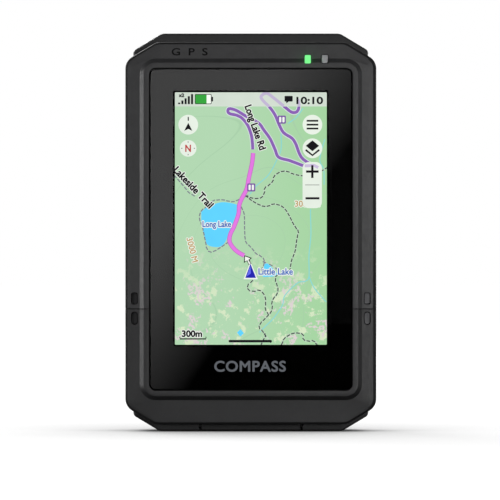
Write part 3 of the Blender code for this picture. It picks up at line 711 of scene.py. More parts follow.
def bezel_rows(case):
    """Section of the bezels from the outer back edge round the front to the inner back edge."""
    front = CAD_BOX[0][1]
    edge, face, back = front + 1.45 * MM, front + 1.1 * MM, BEZEL_BACK
    outer = [
        (0.3, back), (0.0, back + 0.3 * MM), (0.0, edge + 0.8 * MM), (0.03, edge + 0.56 * MM),
        (0.12, edge + 0.32 * MM), (0.26, edge + 0.15 * MM), (0.44, edge + 0.03 * MM),
        (0.56, edge), (0.84, edge), (1.1, edge), (1.5, edge), (2.1, edge),
    ]
    rim = [
        (2.8, face - 0.01 * MM), (2.5, face - 0.04 * MM), (2.4, face - 0.13 * MM), (1.56, front + 0.12 * MM),
        (1.46, front + 0.03 * MM), (1.36, front), (0.2, front), (0.1, front + 0.01 * MM),
        (0.02, front + 0.06 * MM), (0.0, front + 0.2 * MM), (0.0, front + 1.6 * MM),
        (2.3, front + 1.6 * MM), (2.3, front + 2.9 * MM),
    ]
    rows = []
    for inset, y in outer:
        row = placed(bezel_outline(case, inset * MM), "Y", y)
        sink = 0.0 if y > edge + 0.7 * MM else 1.0 - inset / 3.4
        rows.append([
            (x, y + sink * corner_drop(case, x, z) - face_rise(case, inset, x, z), z) for x, _, z in row
        ])
    rows += [placed(opening_outline(case, grow * MM), "Y", y) for grow, y in rim]
    rows += [placed(bezel_outline(case, BEZEL_WALL), "Y", y) for y in (front + 2.9 * MM, back)]
    return rows


def face_rise(case, inset, x, z):
    """How far the face has risen from its outer edge: a curve at the sides, a flat slope above and below."""
    run = max(inset - 0.5, 0.0)
    curved = 0.3 * MM * (1 - max(1 - run / 2.2, 0.0) ** 2)
    flat = (0.1 if z > case.seam_z else 0.065) * run * MM
    side = ease(abs(x), 28 * MM, 31 * MM)
    return side * curved + (1 - side) * flat


def ease(value, low, high):
    """0 below low, 1 above high, smooth between."""
    t = min(max((value - low) / (high - low), 0.0), 1.0)
    return t * t * (3 - 2 * t)


def corner_drop(case, x, z):
    """How much further back the face lies at the corner facets than on the straight runs."""
    ends = max(ease(z, case.bezel_top - 9 * MM, case.bezel_top - 5 * MM),
               ease(-z, -case.bezel_bottom - 9 * MM, -case.bezel_bottom - 5 * MM))
    return 0.1 * MM * ends * ease(abs(x), case.crease_x, case.crease_x + 1.8 * MM)


def slot_cutter(side, place, size, radius, floor, wall):
    """Cutter for a shallow upright lanyard pocket whose floor falls away towards the unit's side."""
    front = CAD_BOX[0][1]
    depth, slope = {-1: (2.2 * MM, -0.55), 1: (1.7 * MM, 0.3)}[side]
    loops = [placed(rounded_box(place, size, radius), "Y", front + y * MM) for y in (0.0, 1.5)]
    floor_size = (size[0] - 0.44 * MM, size[1] - 0.44 * MM)
    loops.append([
        (x, front + depth + slope * (x - place[0]), z)
        for x, z in rounded_box(place, floor_size, radius - 0.2 * MM)
    ])
    cutter = loft("slot", loops, floor)
    cutter.data.materials.append(wall)
    for face in cutter.data.polygons:
        if len(face.vertices) == 4:
            face.material_index = 1
    return cutter


# Bands of the bezel's section: first and last row, material slot, and how far right they begin. Slot 1 is
# painted shade on the outer rounding, reaching one row further in on the right side; slot 2 is painted shade
# on the rim's inner wall.
BEZEL_BANDS = ((0, 7, 1, -1.0), (7, 8, 1, 30 * MM), (19, 23, 2, -1.0))
# Lanyard slots of the upper and the lower bezel: height of the centre, length and corner radius.
LANYARD_SLOTS = {True: (34.4 * MM, 3.1 * MM, 0.55 * MM), False: (29.3 * MM, 3.4 * MM, 0.82 * MM)}
# Painted shade on the left slot floors and painted light on the right ones.
SLOT_FLOORS = {-1: "slot_floor_shaded", 1: "slot_floor_pale"}


class GPSUNIT_OT_bezels(bpy.types.Operator):
    """Upper and lower bezel with their rim, lanyard slots, lamp openings and pressed lettering"""

    bl_idname = "gps_unit.bezels"
    bl_label = "Bezels"

    slot_x: length("Slot centre", "Distance of the lanyard slots from the middle", 0.03005)
    slot_width: length("Slot width", "Width of a lanyard slot", 0.00175)
    mark_width: length("Mark width", "Width of the pressed lettering", 0.0092)
    mark_height: length("Mark height", "Height of the pressed lettering", 0.00185)

    def execute(self, context):
        case = context.scene.gps_case
        made = finishes()
        rows = bezel_rows(case)
        for name, height, above, plastic in (
            ("upper_bezel", case.seam_z + case.seam_gap / 2, True, made["bezel_plastic_fine"]),
            ("lower_bezel", case.seam_z - case.seam_gap / 2, False, made["lower_bezel_plastic"]),
        ):
            bezel = loft(name, rows, plastic, ring=True)
            bezel.data.materials.append(made["bezel_side_band"])
            bezel.data.materials.append(made["bezel_recess"])
            count = len(rows[0])
            for first, last, index, start in BEZEL_BANDS:
                for face in bezel.data.polygons[first * count:last * count]:
                    if face.center.x > start:
                        face.material_index = index
            keep_side(bezel, height, above)
            cutters = self.openings(made["bezel_recess"]) if above else []
            slot_z, tall, radius = LANYARD_SLOTS[above]
            for side in SIDES:
                place = (side * self.slot_x, slot_z)
                floor, wall = made[SLOT_FLOORS[side]], made["bezel_recess"]
                cutters.append(slot_cutter(side, place, (self.slot_width, tall), radius, floor, wall))
            combine(bezel, cutters)
            smooth(bezel, 24)
            keep(bezel, f"{name}_shell", "unit", [name])
        self.tongue(case, made["chassis_plastic_dark"])
        return {"FINISHED"}

    def openings(self, dark):
        """Cutters for the lamp and sensor windows and for the pressed lettering, with walls in painted shade.
        """
        cutters = []
        play = 0.26 * MM
        for node in ("lamp_light_pipe", "sensor_light_pipe"):
            middle, (wide, tall) = front_of(node)
            window = rounded_box(middle, (wide + play, tall + play), 0.3 * MM)
            cutters.append(prism("window", window, "Y", CAD_BOX[0][1] - MM, -5.8 * MM, dark))
        word = letters("mark", "GPS", (self.mark_width, self.mark_height), 1.2 * MM, 0.00004, 2.1)
        word.data.transform(Matrix.Translation((-15.8 * MM, CAD_BOX[0][1] + 0.8 * MM, 98.05 * MM)))
        word.data.materials.clear()
        word.data.materials.append(dark)
        return cutters + [word]

    def tongue(self, case, dark):
        """Set-back tongue of the lower bezel that closes the seam."""
        front = CAD_BOX[0][1]
        section = [
            placed(bezel_outline(case, 0.04 * MM), "Y", y) for y in (BEZEL_BACK + 0.3 * MM, front + 2.3 * MM)
        ]
        section += [
            placed(opening_outline(case, grow * MM), "Y", front + y * MM)
            for grow, y in ((2.9, 1.5), (1.7, 0.5), (0.4, 0.5), (0.4, 1.9), (2.6, 1.9), (2.6, 2.7))
        ]
        section += [
            placed(bezel_outline(case, BEZEL_WALL - 0.2 * MM), "Y", y)
            for y in (front + 2.7 * MM, BEZEL_BACK + 0.3 * MM)
        ]
        tongue = loft("seam_tongue", section, dark, ring=True)
        keep_side(tongue, case.seam_z - 0.16 * MM, True)
        keep_side(tongue, case.seam_z + 0.16 * MM, False)
        keep(tongue, "seam_tongue", "unit")


class GPSUNIT_OT_windows(bpy.types.Operator):
    """Green lens of the status lamp and grey lens of the light sensor"""

    bl_idname = "gps_unit.windows"
    bl_label = "Lamp and Sensor Windows"

    def execute(self, context):
        made = finishes()
        for node, finish, slot in (
            ("lamp_light_pipe", "lamp_green", "green_window"),
            ("sensor_light_pipe", "sensor_window", "grey_window"),
        ):
            item = FRAME["nodes"][node]
            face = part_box(node)[0].y
            middle, (wide, tall) = front_of(node)
            half = tall / 2
            loops = []
            for shrink, lean in ((0.5, 0.0), (0.2, 0.04), (0.0, 0.2), (0.0, 3.0)):
                section = rounded_box(middle, (wide - shrink * MM, tall - shrink * MM), 0.26 * MM)
                loops.append([
                    (x, face + lean * MM + 0.55 * MM * (z - middle[1] + half) / (2 * half), z)
                    for x, z in section
                ])
            lens = loft(node, loops, made[finish])
            keep(lens, f"{node}_lens", "unit", [item.name])
        return {"FINISHED"}


# ---------------------------------------------------------------- rear and sides

CASE_SCREWS = mm((side * x, z) for x, z in ((24.8, 10.5), (25.0, 50.0), (24.8, 92.2)) for side in SIDES)
SPINE_SCREWS = [(0.0, 54 * MM), (0.0, 76 * MM)]
BUTTON = (-1.6 * MM, 68 * MM)
PORT_Y = -2.57 * MM
VENT = (0, 24 * MM)
HINGE = (4.4 * MM, 1.3 * MM)


def cavity_outline(case, grow):
    return chamfered_outline(
        27.9 * MM, 5.4 * MM, 97.4 * MM, (22.2 * MM, 22.2 * MM), (0.0012, 0.0022), -grow, case.arc_steps
    )


class GPSUNIT_OT_rear(bpy.types.Operator):
    """Rear housing with its grooved panel, side grips, screw bores, vent and port recess"""

    bl_idname = "gps_unit.rear"
    bl_label = "Rear Housing"

    ribs: IntProperty(name="Grip ribs", description="Grip ribs on each side", default=15, min=1, max=40)
    rib_pitch: length("Rib pitch", "Distance between two grip ribs", 0.0024)

    def execute(self, context):
        case = context.scene.gps_case
        made = finishes()
        housing = self.shell(case, made)
        combine(housing, self.cutters(made["housing_plastic_fine"]))
        smooth(housing, 26)
        keep(housing, "rear_housing_shell", "unit", ["rear_housing"])
        self.grips(made["soft_rubber"])
        self.vent(made["soft_rubber"], made["chassis_plastic_dark"])
        return {"FINISHED"}

    def shell(self, case, made):
        """Closed shell from the panel on the back, round the front edge, to the back of the cavity."""
        outer = [
            (9.75, 9.5), (9.6, 9.2), (9.1, 9.2), (8.95, 9.5), (4.2, 9.5), (3.0, 9.4), (1.9, 9.05), (1.0, 8.4),
            (0.45, 7.7), (0.12, 6.9), (0.0, 6.3), (0.0, -5.7), (0.08, -6.1), (0.3, -6.38), (0.65, -6.5),
        ]
        rows = [placed(rear_outline(case, inset * MM), "Y", y * MM) for inset, y in outer]
        inner = ((0, -6.5), (0, 6.1), (-1, 7.1))
        rows += [placed(cavity_outline(case, grow * MM), "Y", y * MM) for grow, y in inner]
        housing = loft("rear_housing_shell", rows, made["housing_plastic_fine"])
        housing.data.materials.append(made["housing_panel_texture"])
        for face in housing.data.polygons:
            if face.normal.y > 0.9 and face.center.y > 9.4 * MM and len(face.vertices) > 4:
                face.material_index = 1
        return housing

    def cutters(self, plastic):
        """Screw bores, vent hole, button holes, port recess with its well, and the hinge pin's hole."""
        screw_bore = mm([(6.0, 1.2), (7.4, 1.2), (7.4, 2.1), (9.2, 2.1), (9.7, 2.5)])
        spine_bore = mm([(6, 1.2), (10, 1.2)])
        vent_hole = mm([(6.0, 2.0), (8.3, 2.0), (8.3, 3.3), (9.3, 3.3), (9.7, 3.6)])
        cutters = [
            turned(name, profile, centre, "Y", plastic)
            for name, profile, centres in (
                ("screw_bore", screw_bore, CASE_SCREWS), ("spine_bore", spine_bore, SPINE_SCREWS),
                ("vent_hole", vent_hole, [VENT]),
            )
            for centre in centres
        ]
        for side in SIDES:
            for name, (wide, tall), start, end in (
                ("hole", (4.2, 11.4), 27.0, 33.0), ("collar", (5.2, 12.4), 30.1, 33.0),
            ):
                outline = rounded_box(BUTTON, (wide * MM, tall * MM), wide * MM / 2, 10)
                ends = (side * start * MM, side * end * MM)
                cutters.append(prism(f"button_{name}", outline, "X", *ends, plastic))
        recess = rounded_box((0, 0), (26.9 * MM, 5.0 * MM), 0.3 * MM, 3)
        cutters.append(prism("port_recess", recess, "Y", -8 * MM, 5.85 * MM, plastic))
        well = rounded_box((0, PORT_Y), (12.4 * MM, 6.0 * MM), 3.0 * MM - 1e-6, 12)
        cutters.append(prism("port_well", well, "Z", MM, 6.4 * MM, plastic))
        cutters.append(turned("pin_hole", mm([(-14.75, 0.55), (14.75, 0.55)]), HINGE, "X", plastic, 16))
        return cutters

    def grips(self, rubber):
        """Grip ribs moulded onto both sides."""
        middle = 38 * MM
        heights = [middle + (i - (self.ribs - 1) / 2) * self.rib_pitch for i in range(self.ribs)]
        for side in SIDES:
            rows = []
            for cut, x in ((0.0, -0.25), (0.0, 0.1), (0.16, 0.25), (0.5, 0.34)):
                size = ((8 - cut) * MM, (1.3 - cut) * MM)
                outline = rounded_box((1.2 * MM, 0), size, (0.65 - cut / 2) * MM, 5)
                rows.append(placed(outline, "X", side * x * MM))
            template = loft("grip_rib", rows)
            points = [(side * 30.45 * MM, 0, z) for z in heights]
            grip = repeat(f"side_grip_{'right' if side > 0 else 'left'}", template, points, rubber)
            keep(grip, grip.name, "unit")

    def vent(self, rubber, dark):
        """Vent plug with a ring of fine holes."""
        profile = [(6.6, 1.8), (8.5, 1.8), (8.5, 3.1), (9.1, 3.1), (9.25, 3.02), (9.35, 2.85), (9.4, 2.6)]
        plug = turned("vent_plug", mm(profile), VENT, "Y", rubber)
        template = turned("vent_hole_tool", mm([(-0.5, 0.26), (0.6, 0.26)]), (0, 0), "Y", steps=12)
        rings = ((0.95, 6), (1.9, 12))
        points = [(0, 9.2 * MM, VENT[1])] + [
            (x, 9.2 * MM, VENT[1] + z)
            for radius, count in rings for x, z in circle((0, 0), radius * MM, count)
        ]
        combine(plug, [repeat("vent_hole_tools", template, points, dark)])
        smooth(plug)
        keep(plug, "vent_plug_cap", "unit", ["vent_plug"])


class GPSUNIT_OT_fasteners(bpy.types.Operator):
    """Cross-head screws in the back"""

    bl_idname = "gps_unit.fasteners"
    bl_label = "Fasteners"

    def execute(self, context):
        steel = finishes()["black_oxide_steel"]
        for name, places, seat, length_mm, replaced in (
            ("case_screws", CASE_SCREWS, 7.55, 12.5, [f"case_screw_{i + 1}" for i in range(6)]),
            ("spine_screws", SPINE_SCREWS, 11.35, 4.2, ["spine_screw_1", "spine_screw_2"]),
        ):
            profile = [
                (-length_mm, 0.7), (0.4 - length_mm, 1.0), (0, 1.0), (0, 1.72), (0.1, 1.8), (0.6, 1.8),
                (0.8, 1.74), (0.98, 1.55), (1.1, 1.2), (1.15, 0.9),
            ]
            screw = turned(name, mm(profile), (0, 0), "Y", steel, 32)
            cross = [rounded_box((0, 0), (w * MM, h * MM), 0.12 * MM, 3) for w, h in ((2.1, 0.5), (0.5, 2.1))]
            tools = [prism("cross", bar, "Y", 0.5 * MM, 2 * MM, steel) for bar in cross]
            combine(screw, tools)
            points = [(x, seat * MM, z) for x, z in places]
            keep(repeat(f"{name}_set", screw, points, steel), f"{name}_set", "unit", replaced)
        return {"FINISHED"}


class GPSUNIT_OT_spine(bpy.types.Operator):
    """Rail on the back for a clip"""

    bl_idname = "gps_unit.spine"
    bl_label = "Mount Spine"

    def execute(self, context):
        plastic = finishes()["housing_plastic_fine"]
        half = [(6.2, 9.65), (6.2, 11.4), (9.0, 11.4), (9.0, 13.0), (8.5, 13.5)]
        outline = mm(half + [(-x, y) for x, y in reversed(half)])
        spine = prism("mount_spine", outline, "Z", 46 * MM, 84 * MM, plastic)
        stop = mm([(-9, 9.65), (9, 9.65), (9, 13.0), (-9, 13.0)])
        combine(spine, [prism("spine_stop", stop, "Z", 43.5 * MM, 46.5 * MM, plastic)], "UNION")
        profile = mm([(9, 1.2), (11.2, 1.2), (11.2, 2.1), (13.2, 2.1), (13.6, 2.5)])
        tools = [turned("spine_seat", profile, centre, "Y", plastic) for centre in SPINE_SCREWS]
        for z in (62.0, 68.0):
            pocket = rounded_box((0, z * MM), (8 * MM, 5 * MM), MM, 6)
            tools.append(prism("spine_pocket", pocket, "Y", 12.7 * MM, 14 * MM, plastic))
        combine(spine, tools)
        round_edges(spine, 0.22 * MM, 2, 40)
        keep(spine, "mount_spine_rail", "unit", ["mount_spine"])
        return {"FINISHED"}


class GPSUNIT_OT_buttons(bpy.types.Operator):
    """Power button and user button with their moulded symbols"""

    bl_idname = "gps_unit.buttons"
    bl_label = "Side Buttons"

    def execute(self, context):
        rubber = finishes()["soft_rubber"]
        sections = (
            (2.6, 2.6, 22.75), (2.6, 2.6, 27.0), (5.2, 12.4, 27.0), (5.2, 12.4, 27.7), (3.8, 11.0, 27.7),
            (3.8, 11.0, 30.8), (3.72, 10.92, 31.02), (3.5, 10.7, 31.2), (3.1, 10.3, 31.34), (2.4, 9.6, 31.42),
            (1.6, 8.8, 31.45),
        )
        for label, marks in (("power", self.power_marks()), ("user", self.user_marks())):
            low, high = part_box(f"{label}_button")
            side = 1 if low.x + high.x > 0 else -1
            rows = [
                placed(rounded_box(BUTTON, (w * MM, h * MM), w * MM / 2 - 1e-6, 10), "X", side * x * MM)
                for w, h, x in sections
            ]
            button = loft(f"{label}_button", rows, rubber)
            combine(button, [prism("mark", m, "X", side * 31.2 * MM, side * 32 * MM, rubber) for m in marks])
            smooth(button)
            keep(button, f"{label}_button_cap", f"{label}_button_body", [f"{label}_button"])
        return {"FINISHED"}

    def power_marks(self):
        """Ring and bar of a power symbol."""
        ring = arc(BUTTON, 1.15 * MM, 125, 415, 24) + arc(BUTTON, 0.8 * MM, 415, 125, 24)
        return [ring, rounded_box((BUTTON[0], BUTTON[1] + MM), (0.34 * MM, 1.3 * MM), 0.15 * MM, 4)]

    def user_marks(self):
        """Three ridges."""
        return [
            rounded_box((BUTTON[0], BUTTON[1] + z * MM), (1.8 * MM, 0.4 * MM), 0.19 * MM, 4)
            for z in (-1.2, 0, 1.2)
        ]


class GPSUNIT_OT_cap(bpy.types.Operator):
    """Weather cap of the charging port, with its plug and hinge barrel"""

    bl_idname = "gps_unit.cap"
    bl_label = "Port Cap"

    def execute(self, context):
        rubber = finishes()["soft_rubber"]
        cap = self.plate(rubber)
        barrel = mm([(-12.9, 0.9), (-12.75, 1.05), (12.75, 1.05), (12.9, 0.9)])
        plug = []
        for cut, z in ((0.0, 1.7), (0.0, 3.2), (0.12, 3.4), (0.4, 3.5)):
            size = ((11.3 - cut) * MM, (4.9 - cut) * MM)
            plug.append(placed(rounded_box((0, PORT_Y), size, (2.44 - cut / 2) * MM, 12), "Z", z * MM))
        parts = [turned("cap_barrel", barrel, HINGE, "X", rubber, 32), loft("cap_plug", plug, rubber)]
        combine(cap, parts, "UNION")
        tools = [turned("cap_bore", mm([(-14, 0.56), (14, 0.56)]), HINGE, "X", rubber, 20)]
        for x in (-3.6, -2.4, -1.2, 0.0, 1.2, 2.4, 3.6):
            groove = rounded_box((x * MM, -4.6 * MM), (0.6 * MM, 2.2 * MM), 0.29 * MM, 4)
            tools.append(prism("grip", groove, "Z", 0, 0.42 * MM, rubber))
        combine(cap, tools)
        smooth(cap)
        keep(cap, "usb_cap_cover", "cap_body", ["usb_cap"])
        return {"FINISHED"}

    def plate(self, rubber):
        """Plate with rounded lower edges."""
        middle, rows = (0, -1.5 * MM), []
        for cut, z in ((0.5, 0.2), (0.22, 0.26), (0.06, 0.42), (0.0, 0.66), (0.0, 2.1), (0.1, 2.2)):
            outline = rounded_box(middle, ((25.9 - 2 * cut) * MM, (10 - 2 * cut) * MM), 0.55 * MM, 5)
            rows.append(placed(outline, "Z", z * MM))
        return loft("usb_cap", rows, rubber)


# ---------------------------------------------------------------- screen

def screen_size(screen):
    """Width and height of the lit area in millimetres."""
    return 2 * screen.half_width / MM, (screen.top - screen.bottom) / MM


def layer_depth(screen, layer):
    """Depth of a drawn layer in front of the display panel."""
    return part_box("lcd_panel")[0].y - PANEL_GAP - layer * screen.layer


def screen_point(screen, x, z):
    """A place on the screen, in millimetres from its lower left corner, as (x, z) of the frame."""
    return (-screen.half_width + x * MM, screen.bottom + z * MM)


def smoothed(points, steps=8):
    """A smooth line through a few points."""
    ends = [points[0], *points, points[-1]]
    line = []
    for a, b, c, d in zip(ends, ends[1:], ends[2:], ends[3:]):
        for i in range(steps):
            t = i / steps
            weights = (
                -0.5 * t + t ** 2 - 0.5 * t ** 3, 1 - 2.5 * t ** 2 + 1.5 * t ** 3,
                0.5 * t + 2 * t ** 2 - 1.5 * t ** 3, -0.5 * t ** 2 + 0.5 * t ** 3,
            )
            line.append(tuple(sum(w * p[k] for w, p in zip(weights, (a, b, c, d))) for k in (0, 1)))
    return line + [points[-1]]


class Drawing:
    """Collects flat shapes of one finish on one layer of the screen."""

    def __init__(self, screen, name, material, layer):
        self.screen = screen
        self.name = name
        self.material = material
        self.depth = layer_depth(screen, layer)
        self.mesh = bmesh.new()

    def corners(self, points):
        """Vertices at places on the screen, clipped to it."""
        wide, tall = screen_size(self.screen)
        made = []
        for x, z in points:
            px, pz = screen_point(self.screen, min(max(x, 0), wide), min(max(z, 0), tall))
            made.append(self.mesh.verts.new((px, self.depth, pz)))
        return made

    def area(self, points):
        """A filled outline."""
        corners = self.corners(points)
        edges = [self.mesh.edges.new(pair) for pair in zip(corners, corners[1:] + corners[:1])]
        bmesh.ops.triangle_fill(self.mesh, use_beauty=True, edges=edges)

    def line(self, points, width, steps=8):
        """A smooth line of a width, with square ends."""
        path = [Vector(p) for p in (smoothed(points, steps) if steps else points)]
        pairs = []
        for i, here in enumerate(path):
            along = (path[min(i + 1, len(path) - 1)] - path[max(i - 1, 0)]).normalized()
            across = Vector((-along.y, along.x)) * width / MM / 2
            pairs.append(self.corners([here + across, here - across]))
        for (a, b), (c, d) in zip(pairs, pairs[1:]):
            if len({a.co.to_tuple(7), b.co.to_tuple(7), c.co.to_tuple(7), d.co.to_tuple(7)}) == 4:
                self.mesh.faces.new((a, b, d, c))

    def text(self, words, size, x, z, turn=0.0, bold=0.0):
        """Letters that fill (width, height) millimetres, centred on a place and turned, in degrees."""
        written = letters("label", words, (size[0] * MM, size[1] * MM))
        px, pz = screen_point(self.screen, x, z)
        written.data.transform(Matrix.Rotation(math.radians(turn), 4, "Y"))
        stamped(self.mesh, written.data, bold * MM, (px, self.depth, pz))
        bpy.data.objects.remove(written)

    def done(self, replaced=()):
        """The finished piece, facing the front."""
        loose = [v for v in self.mesh.verts if not v.link_faces]
        bmesh.ops.delete(self.mesh, geom=loose, context="VERTS")
        item = new_object(self.name, self.mesh, self.material)
        facing_front(item.data)
        return keep(item, self.name, "unit", replaced)


def filled(screen, name, material, layer, *areas, replaced=()):
    """A piece made of filled outlines."""
    drawing = Drawing(screen, name, material, layer)
    for points in areas:
        drawing.area(points)
    drawing.done(replaced)


def lined(screen, name, material, layer, width, *paths):
    """A piece made of smooth lines of one width."""
    drawing = Drawing(screen, name, material, layer)
    for path in paths:
        drawing.line(path, width)
    drawing.done()


def land_finish(screen, tone):
    """Map ground: woodland with paler clearings, stony patches low down and faint height lines."""
    material, tree, shader = shader_of("map_land")
    set_inputs(shader, {
        "Base Color": BLACK, "Specular IOR Level": 0.0, "Emission Strength": screen.brightness,
    })
    place = axes(tree, "Object")

    def blend(factor, base, over):
        mix = tree.nodes.new("ShaderNodeMix")
        mix.data_type = "RGBA"
        tree.links.new(factor, mix.inputs["Factor"])
        tree.links.new(base, mix.inputs["A"])
        mix.inputs["B"].default_value = (*over, 1)
        return mix.outputs["Result"]

    across = span(tree, place["X"], -screen.half_width, screen.half_width)
    low_ground = span(tree, place["Z"], screen.bottom + 0.026, screen.bottom + 0.012)
    warm = ramp(tree, across, scaled(tone, 0.97), (tone[0] * 0.82, tone[1] * 0.94, tone[2] * 0.78), 0.35, 1.0)
    clearing = calculate(tree, "MULTIPLY", span(tree, noise(tree, 270, 5.0, 0.7), 0.55, 0.585), low_ground)
    patches = span(tree, noise(tree, 210, 4.0, 0.66), 0.55, 0.58)
    stones = calculate(tree, "MULTIPLY", span(tree, noise(tree, 1700, 2.0), 0.47, 0.52), patches)
    stony = calculate(tree, "MULTIPLY", stones, low_ground)
    lines = span(tree, calculate(tree, "PINGPONG", noise(tree, 28, 0.5), 0.05), 0.0016, 0.0)
    shade = blend(lines, warm, (0.38, 0.6, 0.39))
    shade = blend(clearing, shade, (0.66, 0.78, 0.54))
    shade = blend(stony, shade, (0.7, 0.63, 0.63))
    tree.links.new(shade, shader.inputs["Emission Color"])
    return material


def trail_paths():
    """Footpaths, as places on the screen in millimetres from its lower left corner."""
    return [
        [(18.5, 38.3), (20.3, 37.8), (22.1, 37.9), (23.0, 39.0), (23.3, 40.5), (25.0, 41.8), (25.8, 43.7),
         (27.6, 44.7), (29.0, 44.7), (30.8, 44.0), (33.2, 43.6), (36.0, 43.9), (39.1, 45.6)],
        [(18.5, 38.3), (20.0, 37.1), (22.1, 36.0), (23.7, 35.7), (25.5, 36.3), (27.6, 35.7), (29.0, 34.2),
         (30.9, 30.6), (31.8, 29.6), (31.4, 26.7), (31.0, 24.1), (30.1, 21.7), (29.7, 19.6), (28.9, 18.4),
         (26.8, 18.0), (25.9, 17.2), (26.6, 13.8), (25.1, 11.4), (25.2, 10.1), (24.7, 8.3), (23.9, 7.4),
         (22.1, 5.5), (21.7, 4.7), (22.3, 3.8), (23.3, 2.5), (22.3, 0.1)],
        [(20.8, 17.3), (18.7, 15.1), (18.9, 14.3), (20.2, 13.8), (22.1, 14.0), (22.9, 13.0), (23.4, 11.7),
         (23.4, 9.0), (24.0, 8.0)],
        [(27.7, 0.4), (28.1, 1.4), (29.7, 2.6), (31.2, 3.0), (32.9, 2.7), (33.5, 1.1), (36.0, 0.9),
         (36.6, 0.1)],
        [(23.3, 2.5), (24.5, 0.9)],
    ]


def lakeside_paths():
    """Fainter paths round the lake and down to the pond."""
    return [
        [(18.5, 38.4), (16.6, 37.5), (14.7, 36.9), (12.3, 37.4), (9.7, 37.1), (8.7, 36.0), (6.7, 34.4),
         (6.4, 32.2), (7.1, 30.4), (8.1, 25.6), (8.5, 24.3), (9.7, 24.0), (11.6, 25.0), (13.5, 26.3)],
        [(17.3, 35.2), (17.9, 33.5), (18.0, 29.6), (18.3, 26.6), (19.7, 25.1), (21.0, 23.5), (22.5, 22.6),
         (23.1, 21.3), (22.4, 19.6)],
        [(23.1, 21.3), (24.7, 20.6), (26.3, 19.6)],
        [(0.1, 43.4), (2.2, 41.0), (3.6, 39.3), (4.7, 38.6)],
    ]


def roads():
    """Roads, as places on the screen in millimetres from its lower left corner."""
    return [
        [(20.1, 50.4), (20.0, 52.1), (19.7, 54.2), (18.8, 56.6), (17.4, 58.4), (16.0, 59.2), (14.3, 59.6),
         (13.7, 60.1), (13.8, 60.8), (14.5, 60.9), (16.0, 60.4), (18.5, 58.9), (21.6, 57.2), (22.9, 55.5),
         (24.6, 53.1), (25.8, 50.5), (26.8, 48.4), (29.7, 47.5), (33.4, 46.1)],
        [(35.6, 46.2), (33.1, 47.9), (32.1, 49.4), (31.2, 51.8), (30.2, 53.3), (28.1, 54.7), (27.0, 56.6),
         (25.8, 59.4), (24.2, 61.6), (22.6, 63.2), (22.3, 64.2), (23.7, 64.9), (25.5, 63.7), (28.1, 61.6),
         (30.0, 60.1), (31.2, 60.0), (31.8, 60.6), (32.0, 61.6), (31.7, 62.6)],
    ]


def route():
    """The highlighted route from the road to the unit's own place."""
    return [(20.2, 49.5), (19.9, 46.8), (19.1, 43.1), (18.5, 40.2), (17.3, 37.8), (16.6, 36.0), (16.4, 33.7),
            (15.3, 30.6), (14.3, 28.5), (14.1, 26.7), (15.0, 25.1), (16.3, 23.9), (17.9, 23.0)]


def lake():
    return smoothed([(6.8, 34.3), (8.0, 35.3), (9.7, 36.1), (12.3, 36.8), (15.6, 36.3), (16.2, 35.6),
                     (15.8, 33.6), (14.2, 29.6), (13.1, 26.7), (12.0, 25.5), (10.8, 25.2), (8.7, 25.6),
                     (7.9, 27.0), (6.9, 30.9), (6.8, 34.3)], 5)[:-1]


def streams():
    return [
        [(27.4, 54.7), (27.4, 50.5), (26.4, 47.9), (24.2, 43.9), (21.0, 41.0), (19.2, 38.7)],
        [(33.1, 61.0), (31.3, 58.7), (29.2, 57.1)],
        [(38.7, 53.1), (37.4, 47.9), (38.4, 45.2), (38.5, 41.3)],
        [(35.0, 35.0), (35.0, 33.5), (35.1, 28.3), (34.6, 23.0), (34.6, 17.7), (33.7, 16.4), (31.6, 15.9),
         (28.4, 12.7), (27.7, 10.1), (25.5, 6.9), (23.7, 5.1), (21.8, 3.2)],
        [(34.6, 17.7), (36.0, 14.6), (39.1, 11.0)],
    ]


